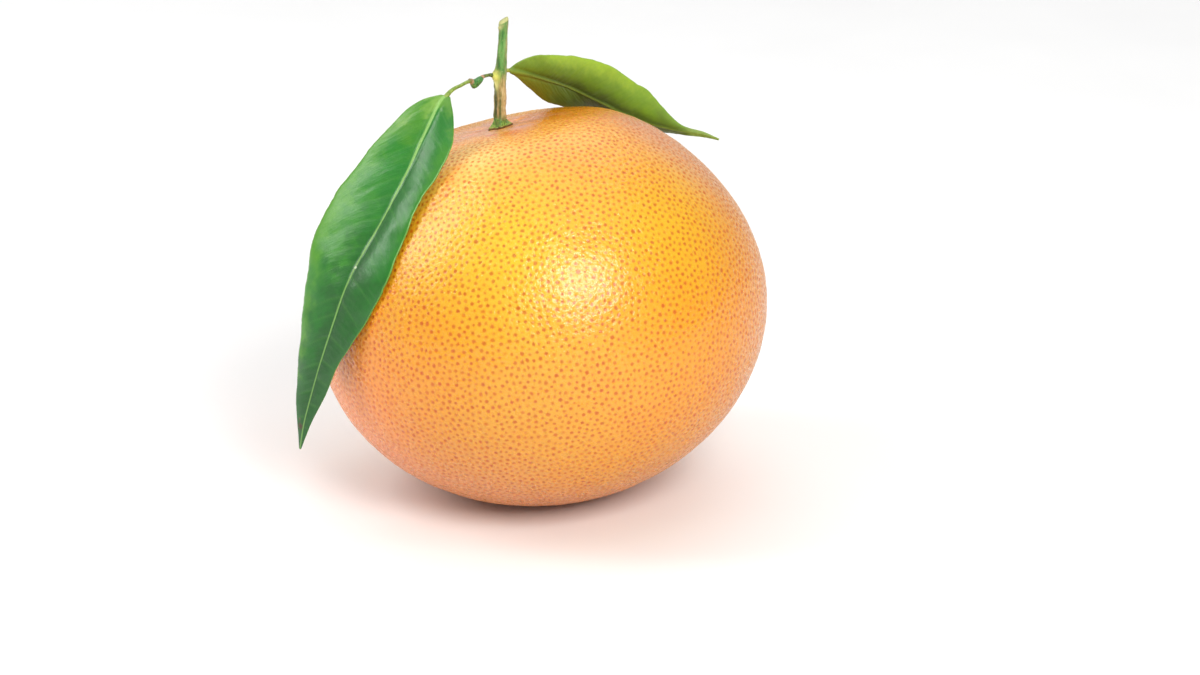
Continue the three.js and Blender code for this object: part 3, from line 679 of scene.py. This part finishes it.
def twig_material(name, dark, light, rough=0.5, ends=None, ends_at=(0.0, 1.0)):
    m = Nodes(name)
    spread = m.span(m.noise(0.6, 4, 0.6), 0.35, 0.65, 0, 1, True)
    colour = m.mix(spread, srgb(*dark), srgb(*light))
    speck = m.span(m.noise(0.22, 2, 0.5), 0.60, 0.72, 0, 0.5, True)
    colour = m.mix(speck, colour, srgb(190, 160, 112))
    if ends:
        share = m.attr("share")
        for at, tint, reach in ends:
            near = m.span(m.math("ABSOLUTE", m.math("SUBTRACT", share, at)), 0.0, reach, 1, 0, True)
            colour = m.mix(near, colour, srgb(*tint))
    m.set("Base Color", colour)
    m.set("Roughness", m.span(m.noise(0.4, 2, 0.5), 0.3, 0.7, rough - 0.08, rough + 0.08))
    n1 = m.bump(m.noise(0.5, 3, 0.6), 0.6, 0.07)
    m.set("Normal", m.bump(m.noise(0.14, 2, 0.6), 0.4, 0.02, n1))
    return m.mat


def bumpy(amount, size, seed, lobes=0.0):
    def radius(direction, share, centre, phi):
        p = Vector((centre[0] + direction[0] * 0.7, centre[1] + direction[1] * 0.7, centre[2] + direction[2] * 0.7))
        v = noise.noise(p / size + Vector((seed, 0, 0)))
        w = noise.noise(p / (0.4 * size) + Vector((0, seed, 0)))
        return 1 + amount * v + 0.4 * amount * w + lobes * math.cos(3 * phi)
    return radius


def make_side_twig():
    obj, _, _ = sweep("side_twig_bark", SIDE_TWIG, 40, 24, bumpy(0.10, 0.8, 2.0, 0.03))
    obj.data.materials.append(twig_material(
        "side twig bark", (58, 78, 34), (112, 132, 60), 0.5,
        [(0.0, (206, 204, 96), 0.22), (0.92, (186, 142, 112), 0.20)]))
    return obj


def make_twig_bud():
    def hang(p, centre, share):
        p = np.array(p)
        belly = max(0.0, 1 - abs(share - 0.68) / 0.60) ** 1.8
        if p[2] < centre[2]:
            fall = centre[2] - p[2]
            p[2] -= 0.92 * belly * fall
            p[0] += (0.25 - 0.2 * share) * belly * fall
        else:
            p[2] -= 0.36 * math.sin(math.pi * min(1.0, share)) * (p[2] - centre[2])
        return p

    obj, pts, share = sweep("twig_bud_scales", TWIG_BUD, 46, 30, bumpy(0.09, 0.9, 6.0, 0.05), hang)
    obj.data.materials.append(twig_material(
        "twig bud scales", (36, 92, 40), (76, 142, 62), 0.42,
        [(0.0, (170, 126, 104), 0.20), (1.0, (188, 146, 112), 0.18)]))
    return obj


def make_left_petiole():
    def shape(direction, share, centre, phi):
        joint = 0.16 * math.exp(-((share - 0.11) / 0.045) ** 2)
        groove = -0.12 * max(0.0, math.cos(phi - 1.2)) ** 6
        return bumpy(0.05, 0.9, 4.0)(direction, share, centre, phi) + joint + groove

    obj, _, _ = sweep("left_petiole_stalk", LEFT_PETIOLE, 70, 24, shape)
    obj.data.materials.append(twig_material(
        "left petiole", (98, 128, 42), (142, 164, 70), 0.42,
        [(0.02, (164, 122, 90), 0.17), (0.15, (122, 108, 62), 0.08)]))
    return obj


def make_right_petiole():
    obj, _, _ = sweep("right_petiole_stalk", RIGHT_PETIOLE, 36, 24, bumpy(0.06, 0.8, 9.0))
    obj.data.materials.append(twig_material(
        "right petiole", (130, 146, 50), (176, 178, 84), 0.45,
        [(0.0, (198, 160, 104), 0.30)]))
    return obj


# ------------------------------------------------------------------ calyx
CALYX_RADIUS, CALYX_LOBES, CALYX_TOP = 2.66, 5, 2.55


def make_calyx():
    cx, cy = STEM_BASE
    segments, inner, outer = 120, 6, 16
    skin_centre = skin_height(cx, cy)
    cache = {}

    def skin(x, y):
        key = (round(x, 3), round(y, 3))
        if key not in cache:
            cache[key] = skin_height(x, y)
        return cache[key]

    lobe_phase = 0.6

    def reach(phi):
        wave = math.cos(CALYX_LOBES * phi + lobe_phase)
        sharp = max(0.0, wave) ** 1.6
        ragged = 0.10 * noise.noise(Vector((math.cos(phi) * 2.1, math.sin(phi) * 2.1, 4.0)))
        return CALYX_RADIUS * (0.80 + 0.36 * sharp + 0.04 * wave + ragged)

    pts, lobe, faces, grid = [], [], [], []

    def point(phi, out, top, s):
        x, y = cx + out * math.cos(phi), cy + out * math.sin(phi)
        low = skin(x, y)
        if not top:
            return (x, y, low - 0.12)
        lift = 0.30 * math.exp(-((s - 0.85) / 0.2) ** 2)
        keel = 0.24 * max(0.0, math.cos(CALYX_LOBES * phi + lobe_phase)) ** 3 * math.sin(math.pi * min(1, s))
        crease = -0.18 * max(0.0, -math.cos(CALYX_LOBES * phi + lobe_phase)) ** 2 * math.sin(math.pi * min(1, s * 1.1))
        rough = 0.11 * noise.noise(Vector((x * 1.9, y * 1.9, 1.0))) + 0.06 * noise.noise(Vector((x * 4.5, y * 4.5, 2.0)))
        collar = skin_centre + CALYX_TOP
        body = collar * (1 - s) ** 1.75 + (low + 0.34) * (1 - (1 - s) ** 1.75)
        return (x, y, body + (lift * 0.4 + keel + crease + rough) * (1 if s < 0.97 else 0.6))

    # underside from the middle to the rim, then over the top back to the middle
    for i in range(1, 5):
        s = i / 4
        grid.append([(phi, reach(phi) * s * (0.97 if i == 4 else 1.0), False, 1.0) for phi in np.linspace(0, 2 * math.pi, segments, endpoint=False)])
    for i in range(outer + 1):
        s = 1 - i / outer
        grid.append([(phi, 1.35 + (reach(phi) - 1.35) * s, True, s) for phi in np.linspace(0, 2 * math.pi, segments, endpoint=False)])
    for i in range(1, inner):
        s = 1 - i / inner
        grid.append([(phi, 1.35 * s, True, 0.0) for phi in np.linspace(0, 2 * math.pi, segments, endpoint=False)])
    index = []
    for row in grid:
        ids = []
        for phi, out, top, s in row:
            ids.append(len(pts))
            pts.append(point(phi, out, top, s))
            lobe.append(s)
        index.append(ids)
    for i in range(len(index) - 1):
        for j in range(segments):
            k = (j + 1) % segments
            faces.append((index[i][j], index[i][k], index[i + 1][k], index[i + 1][j]))
    low = len(pts)
    pts.append((cx, cy, skin_centre - 0.12))
    lobe.append(0.0)
    high = len(pts)
    pts.append((cx, cy, skin_centre + CALYX_TOP))
    lobe.append(0.0)
    for j in range(segments):
        k = (j + 1) % segments
        faces.append((low, index[0][k], index[0][j]))
        faces.append((high, index[-1][j], index[-1][k]))
    obj = new_mesh("calyx_star", pts, faces)
    add_float(obj, "rim", lobe)
    outward(obj)
    m = Nodes("calyx")
    spread = m.span(m.noise(0.7, 4, 0.6), 0.35, 0.65, 0, 1, True)
    colour = m.mix(spread, srgb(66, 106, 34), srgb(134, 164, 66))
    rim = m.span(m.attr("rim"), 0.55, 1.0, 0, 1, True)
    colour = m.mix(m.math("MULTIPLY", rim, 0.8), colour, m.mix(spread, srgb(122, 116, 38), srgb(168, 172, 76)))
    edge = m.span(m.attr("rim"), 0.90, 1.0, 0, 0.9, True)
    colour = m.mix(edge, colour, srgb(96, 66, 28))
    m.set("Base Color", colour)
    m.set("Roughness", m.span(spread, 0, 1, 0.5, 0.66))
    n1 = m.bump(m.noise(0.45, 4, 0.6), 0.7, 0.08)
    m.set("Normal", m.bump(m.noise(0.13, 3, 0.6), 0.4, 0.02, n1))
    obj.data.materials.append(m.mat)
    return obj


# ------------------------------------------------------------------ leaves
FACE = np.array([0, -0.94, 0.34])
# midrib, one edge, other edge, then how much each half bulges towards the front
LEFT_LEAF = [
    [[-21.45, -9.51, 101.56], [-22.64, -9.15, 101.82], [-20.42, -9.66, 101.36], 0.03, 0.05],
    [[-22.30, -10.33, 101.07], [-26.86, -9.63, 100.78], [-20.17, -11.04, 100.18], 0.18, 0.2],
    [[-23.63, -12.00, 99.12], [-30.27, -10.48, 98.91], [-19.67, -13.52, 97.87], 0.33, 0.4],
    [[-24.99, -14.00, 96.55], [-33.44, -11.52, 96.04], [-19.51, -16.63, 94.79], 0.48, 0.5],
    [[-27.18, -16.60, 92.33], [-36.96, -12.85, 92.39], [-19.93, -19.91, 91.65], 0.6, 0.6],
    [[-29.80, -19.73, 86.94], [-40.75, -13.91, 88.30], [-22.41, -23.24, 87.82], 0.72, 0.7],
    [[-32.69, -22.77, 81.79], [-44.30, -15.18, 83.65], [-25.49, -26.82, 83.72], 0.81, 0.8],
    [[-35.34, -25.28, 76.96], [-47.49, -16.38, 79.46], [-28.23, -29.70, 79.53], 0.87, 0.8],
    [[-38.11, -27.39, 72.62], [-50.08, -17.83, 75.49], [-30.27, -32.51, 74.96], 0.9, 0.8],
    [[-42.20, -29.73, 65.90], [-52.71, -19.52, 69.10], [-32.80, -34.97, 69.18], 0.9, 0.8],
    [[-44.33, -30.77, 61.57], [-53.68, -20.81, 64.07], [-34.67, -36.38, 64.27], 0.87, 0.8],
    [[-46.18, -31.33, 56.82], [-54.64, -22.18, 58.56], [-36.83, -36.56, 59.91], 0.81, 0.7],
    [[-48.12, -31.84, 51.03], [-55.34, -23.89, 52.42], [-40.11, -36.10, 54.06], 0.72, 0.6],
    [[-49.99, -32.08, 45.39], [-55.82, -25.41, 46.19], [-43.77, -35.33, 47.83], 0.6, 0.5],
    [[-51.75, -32.24, 39.69], [-56.55, -27.22, 40.33], [-47.35, -34.45, 41.64], 0.48, 0.4],
    [[-53.66, -32.55, 33.01], [-56.98, -28.94, 34.16], [-50.14, -33.62, 34.68], 0.3, 0.3],
    [[-55.06, -32.82, 27.57], [-56.68, -30.86, 28.58], [-53.29, -33.34, 28.27], 0.12, 0.1],
    [[-56.08, -33.19, 21.88], [-56.28, -32.93, 21.88], [-55.84, -33.29, 21.82], 0.01, 0.02]]
RIGHT_LEAF = [
    [[-7.02, 7.68, 102.88], [-6.97, 7.62, 103.32], [-6.97, 7.72, 102.42], 0.05, 0.05],
    [[-4.51, 8.78, 102.11], [-4.69, 7.94, 104.94], [-4.71, 9.88, 100.17], 0.4, 0.3],
    [[-1.93, 11.56, 100.67], [-2.04, 9.34, 105.65], [-2.42, 14.60, 96.47], 0.8, 0.5],
    [[1.95, 16.82, 97.87], [2.38, 13.07, 105.19], [1.59, 23.33, 90.63], 1.2, 0.6],
    [[6.63, 24.36, 94.03], [8.21, 20.22, 102.80], [7.12, 32.08, 86.01], 1.4, 0.6],
    [[10.72, 29.08, 90.64], [13.40, 25.27, 100.23], [11.64, 37.90, 83.88], 1.5, 0.6],
    [[14.83, 33.02, 87.42], [18.16, 29.96, 96.94], [15.36, 42.01, 81.73], 1.5, 0.6],
    [[18.93, 36.15, 84.34], [22.60, 34.13, 92.71], [18.97, 44.53, 79.28], 1.4, 0.6],
    [[23.65, 38.35, 81.60], [26.57, 37.20, 88.86], [23.22, 45.27, 77.23], 1.2, 0.6],
    [[28.62, 39.68, 79.41], [30.58, 39.16, 83.89], [28.20, 44.50, 76.29], 0.9, 0.5],
    [[33.36, 40.45, 78.01], [34.46, 40.40, 79.66], [33.28, 42.64, 76.42], 0.5, 0.3],
    [[36.60, 41.03, 77.28], [36.84, 41.01, 78.20], [36.62, 41.51, 76.25], 0.2, 0.2],
    [[40.34, 41.37, 76.45], [40.49, 41.35, 77.13], [40.25, 41.54, 75.75], 0.1, 0.1],
    [[44.33, 41.34, 75.19], [44.41, 41.33, 75.35], [44.29, 41.37, 75.00], 0.02, 0.02]
]


def catmull_rows(rows, ts):
    """The same curve as catmull, for many places at once: its points."""
    p = np.asarray(rows, float)
    n = len(p) - 1
    padded = np.concatenate([[2 * p[0] - p[1]], p, [2 * p[n] - p[n - 1]]])
    s = np.clip(np.asarray(ts) * n, 0, n - 1e-9)
    i = s.astype(int)
    u = (s - i).reshape(-1, *([1] * (p.ndim - 1)))
    a, b, c, d = padded[i], padded[i + 1], padded[i + 2], padded[i + 3]
    return 0.5 * (2 * b + (c - a) * u + (2 * a - 5 * b + 4 * c - d) * u * u + (3 * b - a - 3 * c + d) * u ** 3)


def make_leaf(name, stations, rib_on_face, seed, vein_gap, rows=230, across=36, bulge_scale=(1.0, 1.0), rib_size=1.0,
              even=True):
    """A thin closed blade with a raised midrib, side veins and a slightly uneven margin."""
    rng = np.random.default_rng(seed)
    mid, one, other = [np.array([q[k] for q in stations]) for k in range(3)]
    bulge = np.array([[q[3], q[4]] for q in stations]) * np.array(bulge_scale)
    dense = np.linspace(0, 1, 1200)
    line = catmull_rows(mid, dense)
    run = np.concatenate([[0], np.cumsum(np.linalg.norm(np.diff(line, axis=0), axis=1))])
    length = run[-1]
    S1 = length * np.linspace(0, 1, rows)
    ts = np.interp(S1, run, dense)
    u = np.linspace(-1, 1, 2 * across + 1)
    u = np.sign(u) * np.abs(u) ** 1.38
    cols = len(u)
    front = unit(FACE)
    M = catmull_rows(mid, ts)
    tang = unit(catmull_rows(mid, np.clip(ts + 1e-3, 0, 1)) - catmull_rows(mid, np.clip(ts - 1e-3, 0, 1)))
    v = S1 / length
    body = np.sin(np.pi * np.clip(v, 0, 1)) ** 0.6
    P = np.zeros((rows, cols, 3))
    width = np.zeros((rows, cols))
    sides = []
    for q, (edges, pick) in enumerate(((one, u < 0), (other, u >= 0))):
        E = catmull_rows(edges, ts)
        h = np.interp(ts * (len(stations) - 1), range(len(stations)), bulge[:, q])
        n = unit(np.cross(tang, E - M))
        n[(n @ front) < 0] *= -1
        w = np.linalg.norm(E - M, axis=1)
        s = np.abs(u[pick])[None, :]
        k1, k2, k3 = rng.uniform(0, 6.28, 3)
        # the margin wanders a little and has a few blunt notches
        wander = 0.13 * np.sin(S1 * 0.44 + k1) + 0.06 * np.sin(S1 * 0.97 + k2) \
            + 0.05 * np.sin(S1 * 2.3 + k3) * np.clip(np.sin(S1 * 0.31 + k2), 0, 1)
        notch = sum(-a * np.exp(-((S1 - c * length) / r) ** 2) for c, a, r in
                    zip(rng.uniform(0.15, 0.9, 4), rng.uniform(0.05, 0.18, 4), rng.uniform(0.6, 1.4, 4)))
        off = ((wander + notch) * body * np.clip(w / 5.0, 0, 1))[:, None] * s ** 4
        bow = 4 * s * (1 - s) if even else (s ** 0.75 * (1 - s) ** 1.25) / 0.2636
        ripple = ((0.20 * np.sin(S1 * 0.34 + k3) + 0.06 * np.sin(S1 * 0.80 + k1)) * body)[:, None] * s ** 2.2
        along_dir = (E - M) / w[:, None]
        P[:, pick] = M[:, None] + (E - M)[:, None] * s[..., None] + along_dir[:, None] * off[..., None] \
            + n[:, None] * (h[:, None] * bow + ripple)[..., None]
        width[:, pick] = w[:, None]
        sides.append(w)
    N = unit(np.cross(np.gradient(P, axis=0), np.gradient(P, axis=1)))
    N[(N @ front) < 0] *= -1
    S = np.repeat(S1[:, None], cols, 1)
    D = np.abs(u)[None, :] * width
    rel = np.clip(D / np.maximum(width, 0.01), 0, 1)
    weave = S - 0.62 * D - 0.030 * D * D
    vein, quilt = np.zeros_like(S), np.zeros_like(S)
    for q, side in enumerate((-1, 1)):
        mask = (u[None, :] * side >= 0) * np.ones_like(S)
        starts = np.arange(1.5 + 0.5 * vein_gap * q, length - 4, vein_gap)
        starts = starts + rng.uniform(-0.24, 0.24, len(starts)) * vein_gap
        for s0 in starts:
            rise, curve = 0.62 + rng.uniform(-0.10, 0.10), 0.030 + rng.uniform(-0.010, 0.010)
            dist = (S - s0 - rise * D - curve * D * D) / math.sqrt(1 + rise ** 2)
            fade = (1 - rel ** 4) * smoothstep(0, 0.7, D)
            vein = np.maximum(vein, np.exp(-(dist / (0.32 - 0.18 * rel)) ** 2) * fade * mask)
            quilt = np.maximum(quilt, np.exp(-(dist / (0.26 * vein_gap)) ** 2) * fade * mask)
            for part, strength in ((0.33, 0.35), (0.66, 0.45)):
                dist2 = (S - s0 - part * vein_gap - rise * D - curve * D * D) / math.sqrt(1 + rise ** 2)
                vein = np.maximum(vein, strength * np.exp(-(dist2 / 0.18) ** 2) * fade * mask * (1 - rel))
    flat = np.stack([(D * np.sign(u)[None, :]).ravel(), S.ravel(), np.zeros(S.size)], 1)
    woven = np.stack([D.ravel() * 0.35, weave.ravel() * 1.3, np.sign(np.repeat(u[None, :], rows, 0)).ravel() * 5], 1)
    crinkle = (0.055 * lumps(woven, 1.0, 3.0) + 0.030 * lumps(woven, 0.45, 7.0) + 0.19 * lumps(flat, 6.5, 2.0)).reshape(S.shape)
    fade_rib = (1 - 0.70 * v)[:, None]
    rib_w = (0.46 * fade_rib + 0.09) * rib_size
    rib = np.exp(-(D / rib_w) ** 2)
    shoulder = np.exp(-((D - 1.7 * rib_w) / (0.8 * rib_w)) ** 2)
    thick = 0.20 * (1 - 0.55 * smoothstep(0.93, 1.0, rel)) * (1 - 0.35 * smoothstep(0.9, 1.0, v))[:, None]
    scale = np.clip(width / 4.0, 0.12, 1)                # relief shrinks where the blade narrows
    raised = 0.42 * fade_rib * rib - 0.10 * fade_rib * shoulder + 0.06 * vein * scale
    grooved = 0.08 * rib * fade_rib - 0.07 * shoulder * fade_rib - 0.030 * vein * scale
    relief = (crinkle - 0.06 * quilt) * scale * (1 - rib)
    upper = P + N * (thick + relief + (raised if rib_on_face else grooved))[..., None]
    lower = P - N * (thick - relief + (grooved if rib_on_face else raised))[..., None]
    count = rows * cols
    pts = np.concatenate([upper.reshape(-1, 3), lower.reshape(-1, 3)])
    i, j = np.meshgrid(np.arange(rows - 1), np.arange(cols - 1), indexing="ij")
    a = (i * cols + j).ravel()
    face_a = np.stack([a, a + 1, a + cols + 1, a + cols], 1)
    face_b = np.stack([a, a + cols, a + cols + 1, a + 1], 1) + count
    r = np.arange(rows - 1) * cols
    c = np.arange(cols - 1)
    last, end = cols - 1, (rows - 1) * cols
    rim = np.concatenate([
        np.stack([r, r + cols, r + cols + count, r + count], 1),
        np.stack([r + last + count, r + last + cols + count, r + last + cols, r + last], 1),
        np.stack([c + count, c + 1 + count, c + 1, c], 1),
        np.stack([c + end, c + 1 + end, c + 1 + end + count, c + end + count], 1)])
    faces = np.concatenate([face_a, face_b, rim])
    slots = np.concatenate([np.zeros(len(face_a)), np.ones(len(face_b)), np.zeros(len(rim))]).astype(int)
    obj = new_mesh(name, pts, faces)

    def twice(values):
        return np.concatenate([np.asarray(values, float).ravel()] * 2)

    add_float(obj, "vein", twice(vein))
    add_float(obj, "rib", twice(rib))
    add_float(obj, "along", twice(S / length))
    add_float(obj, "across", twice(np.repeat(u[None, :], rows, 0)))
    for label, data in (("blade", flat), ("weave", woven)):
        layer = obj.data.attributes.new(label, "FLOAT_VECTOR", "POINT")
        both = np.concatenate([data, data + np.array([0, 0, 20.0])]) * MM
        layer.data.foreach_set("vector", both.astype(np.float32).ravel())
    obj.data.polygons.foreach_set("material_index", slots)
    outward(obj)
    return obj


def leaf_rgb(r, g, b, deeper=1.04, less=0.030):
    # the sheen adds a little white to what is seen, so the blade itself is a shade deeper
    return tuple(max(0.010, (v - less) / deeper) for v in srgb(r, g, b))


def blade_material(name, rows, gloss, rib, vein_tint, spots=(), edge=None, crinkle=0.5, deeper=1.04, patchy=0.22, less=0.030,
                   rib_edge=(0.30, 0.85)):
    """rows: (share along, colours from one edge over the midrib to the other edge)."""
    m = Nodes(name)
    blade, weave = m.vec_attr("blade"), m.vec_attr("weave")
    along, across = m.attr("along"), m.attr("across")
    soft = m.span(m.noise(6, 3, 0.55, blade), 0.32, 0.68, -0.07, 0.07)
    soft2 = m.span(m.noise(4, 3, 0.55, blade), 0.32, 0.68, -patchy, patchy)
    pos, cross = m.math("ADD", along, soft), m.math("ADD", across, soft2)
    places = (-0.95, -0.5, -0.10, 0.10, 0.5, 0.95)

    def ramp(k):
        colour = leaf_rgb(*rows[0][1][k], deeper, less)
        for (a0, _), (a1, c1) in zip(rows, rows[1:]):
            colour = m.mix(m.span(pos, a0, a1, 0, 1, True), colour, leaf_rgb(*c1[k], deeper, less))
        return colour

    base = ramp(0)
    for k in range(1, 6):
        x = across if k == 3 else cross
        base = m.mix(m.span(x, places[k - 1], places[k], 0, 1, True), base, ramp(k))
    mottle = m.span(m.noise(1.3, 4, 0.6, blade), 0.38, 0.64, 0, 1, True)
    base = m.mix(m.math("MULTIPLY", mottle, 0.30), base, m.mix(1.0, base, (0.66, 0.84, 0.70), "MULTIPLY"))
    cells = m.span(m.noise(0.9, 4, 0.65, weave), 0.40, 0.64, 0, 1, True)
    base = m.mix(m.math("MULTIPLY", cells, 0.26), base, m.mix(1.0, base, (1.36, 1.16, 1.30), "MULTIPLY"))
    base = m.mix(m.math("MULTIPLY", m.attr("vein"), vein_tint[1]), base, leaf_rgb(*vein_tint[0]))
    ribm = m.span(m.attr("rib"), rib_edge[0], rib_edge[1], 0, 1, True)
    ribm = m.math("MULTIPLY", ribm, m.span(along, 0.25, 0.95, rib[1], 0.55 * rib[1]))
    base = m.mix(ribm, base, leaf_rgb(*rib[0]))
    if edge:
        near = m.span(m.math("ABSOLUTE", across), 0.955, 0.992, 0, edge[1], True)
        base = m.mix(near, base, leaf_rgb(*edge[0]))
    for centre, reach, tint, amount in spots:
        node = m.tree.nodes.new("ShaderNodeVectorMath")
        node.operation = "DISTANCE"
        m.put(node.inputs[0], m.coord)
        node.inputs[1].default_value = tuple(v * MM for v in centre)
        wobble = m.math("ADD", node.outputs["Value"], m.span(m.noise(0.7, 2, 0.6), 0.3, 0.7, -0.25 * MM, 0.25 * MM))
        near = m.span(wobble, 0.25 * reach * MM, reach * MM, amount, 0, True)
        base = m.mix(near, base, srgb(*tint))
    m.set("Base Color", base)
    m.set("Roughness", m.span(m.noise(1.6, 4, 0.6, weave), 0.3, 0.7, gloss[0], gloss[1]))
    if gloss[2]:
        m.set("Specular IOR Level", 0.5)
        m.set("Coat Weight", gloss[2])
        m.set("Coat Roughness", gloss[3])
    n1 = m.bump(m.noise(0.8, 4, 0.65, weave), crinkle, 0.10)
    n2 = m.bump(m.noise(0.35, 3, 0.6, blade), 0.35, 0.03, n1)
    m.set("Normal", n2)
    return m.mat


def make_left_leaf():
    obj = make_leaf("left_leaf_blade", LEFT_LEAF, False, 11, 6.4)
    obj.data.materials.append(blade_material("left leaf upper side", [
        (0.00, ((140, 186, 92), (140, 186, 92), (146, 190, 96), (120, 172, 86), (112, 164, 80), (112, 164, 80))),
        (0.08, ((112, 170, 66), (100, 160, 68), (96, 156, 66), (72, 142, 60), (70, 140, 60), (80, 148, 62))),
        (0.20, ((104, 170, 60), (80, 150, 58), (74, 146, 58), (54, 130, 58), (66, 138, 56), (92, 154, 62))),
        (0.34, ((110, 174, 62), (86, 154, 58), (62, 138, 58), (48, 124, 58), (60, 134, 56), (84, 148, 60))),
        (0.48, ((112, 176, 60), (90, 158, 58), (50, 128, 58), (46, 120, 56), (68, 138, 56), (72, 138, 58))),
        (0.60, ((92, 162, 58), (60, 138, 58), (46, 122, 58), (44, 116, 56), (50, 124, 54), (62, 130, 56))),
        (0.74, ((110, 170, 62), (52, 130, 56), (44, 116, 54), (42, 112, 52), (46, 116, 52), (56, 124, 54))),
        (0.86, ((62, 130, 56), (48, 120, 52), (44, 114, 50), (44, 112, 50), (48, 116, 52), (56, 120, 52))),
        (1.00, ((60, 116, 50), (60, 116, 50), (60, 116, 50), (60, 116, 50), (60, 116, 50), (60, 116, 50)))],
        (0.30, 0.44, 0.20, 0.24), ((148, 194, 106), 0.82), ((104, 164, 76), 0.16),
        [((-56.2, -32.5, 27.3), 1.2, (74, 46, 26), 0.9), ((-56.4, -32.2, 28.9), 0.6, (110, 70, 40), 0.8),
         ((-42.4, -29.9, 66.0), 0.5, (214, 224, 190), 0.8), ((-37.0, -27.0, 75.5), 0.25, (226, 236, 206), 0.7)],
        ((128, 180, 76), 0.6), 0.6, 1.34, 0.16, 0.060, (0.34, 0.80)))
    obj.data.materials.append(blade_material("left leaf under side", [
        (0.00, ((150, 176, 100),) * 6), (0.5, ((126, 160, 88),) * 6), (1.0, ((120, 150, 82),) * 6)],
        (0.55, 0.68, 0.0, 0.3), ((172, 190, 118), 0.8), ((158, 180, 108), 0.45), (), ((146, 176, 84), 0.4), 0.4))
    return obj


def make_right_leaf():
    obj = make_leaf("right_leaf_blade", RIGHT_LEAF, True, 23, 5.6, 200, 34, (0.8, 0.8), 1.15)
    # partly the underside's own paler green, partly painted light and shade: bright yellow-green along the upper half,
    # where light shines through the blade, and dark olive along the lower half, which faces down in shade
    obj.data.materials.append(blade_material("right leaf under side", [
        (0.00, ((112, 138, 52), (112, 138, 52), (106, 134, 50), (126, 136, 56), (128, 136, 56), (128, 136, 56))),
        (0.14, ((128, 156, 58), (112, 142, 54), (96, 122, 48), (120, 136, 56), (122, 136, 56), (124, 138, 58))),
        (0.30, ((156, 188, 64), (118, 152, 56), (94, 118, 50), (106, 128, 52), (110, 132, 54), (112, 132, 54))),
        (0.48, ((156, 188, 62), (120, 156, 58), (90, 112, 50), (94, 108, 44), (94, 110, 44), (96, 110, 44))),
        (0.66, ((138, 172, 62), (122, 160, 58), (92, 118, 50), (88, 108, 44), (88, 108, 44), (88, 108, 44))),
        (0.82, ((122, 156, 60), (106, 136, 56), (90, 114, 50), (92, 114, 50), (92, 114, 50), (92, 114, 50))),
        (1.00, ((144, 168, 86),) * 6)],
        (0.50, 0.66, 0.0, 0.3), ((132, 152, 64), 0.85), ((116, 144, 60), 0.10), (), ((152, 182, 78), 0.4), 0.4,
        1.02, 0.08, 0.030, (0.22, 0.70)))
    obj.data.materials.append(blade_material("right leaf upper side", [
        (0.00, ((116, 168, 76),) * 6), (0.4, ((84, 148, 64),) * 6), (1.0, ((72, 132, 58),) * 6)],
        (0.30, 0.46, 0.32, 0.25), ((150, 196, 114), 0.85), ((110, 166, 84), 0.22), (), ((128, 176, 80), 0.5), 0.5,
        1.2))
    return obj


# ------------------------------------------------------------------ the object
PIECES = {
    "fruit": make_fruit, "calyx": make_calyx, "stem": make_stem, "side_twig": make_side_twig,
    "twig_bud": make_twig_bud, "left_petiole": make_left_petiole, "left_leaf": make_left_leaf,
    "right_petiole": make_right_petiole, "right_leaf": make_right_leaf}
for node, make in PIECES.items():
    piece = make()
    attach(piece, "root")
    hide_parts(node)

# ------------------------------------------------------------------ floor, light, camera
floor_mesh = bpy.data.meshes.new("floor")
floor_mesh.from_pydata([(-4, -3, 0), (4, -3, 0), (4, 6, 0), (-4, 6, 0)], [], [(0, 1, 2, 3)])
floor = bpy.data.objects.new("floor", floor_mesh)
bpy.context.scene.collection.objects.link(floor)
fm = Nodes("floor")
fm.set("Base Color", fm.mix(fm.span(fm.noise(60, 2, 0.5), 0.3, 0.7, 0, 1), (0.90, 0.90, 0.90), (0.92, 0.92, 0.92)))
fm.set("Roughness", 0.8)
fm.set("Specular IOR Level", 0.1)
floor_mesh.materials.append(fm.mat)

world = bpy.data.worlds.new("studio")
bpy.context.scene.world = world
world.use_nodes = True
world.node_tree.nodes["Background"].inputs[0].default_value = (1, 1, 1, 1)
world.node_tree.nodes["Background"].inputs[1].default_value = 0.46

TARGET = Vector((0, 0, 0.052))


def soft_light(name, direction, distance, size, power, colour=(1, 1, 1)):
    data = bpy.data.lights.new(name, "AREA")
    data.shape = "RECTANGLE"
    data.size, data.size_y = size
    data.energy = power
    data.color = colour
    lamp = bpy.data.objects.new(name, data)
    lamp.location = TARGET + Vector(direction).normalized() * distance
    lamp.rotation_euler = (TARGET - lamp.location).to_track_quat("-Z", "Y").to_euler()
    bpy.context.scene.collection.objects.link(lamp)
    return lamp


soft_light("key", (0.345, -0.745, 0.575), 0.9, (0.38, 0.38), 6.2, (1.0, 0.99, 0.975))
soft_light("left panel", (-0.76, -0.02, 0.65), 0.9, (0.34, 0.66), 3.6)
soft_light("top", (0.15, 0.1, 1.0), 1.2, (1.0, 1.0), 2.6)
soft_light("backdrop", (0.0, 0.62, 0.78), 2.0, (2.2, 1.0), 8.0)

tilt = math.radians(20.0)
side_v, up_v = Vector((1, 0, 0)), Vector((0, math.sin(tilt), math.cos(tilt)))
back_v = Vector((0, -math.cos(tilt), math.sin(tilt)))
camera_data = bpy.data.cameras.new("camera")
camera_data.lens = 124.1
camera_data.sensor_width = 36.0
camera_data.clip_start, camera_data.clip_end = 0.05, 30
camera = bpy.data.objects.new("camera", camera_data)
camera.location = (Vector(FRUIT_CENTRE) + side_v * 14.75 - up_v * 7.86 + back_v * 1000.0) * MM
camera.rotation_euler = (math.radians(90) - tilt, 0, 0)
bpy.context.scene.collection.objects.link(camera)
bpy.context.scene.camera = camera

bpy.context.scene.view_settings.view_transform = "Standard"
bpy.context.scene.view_settings.look = "None"
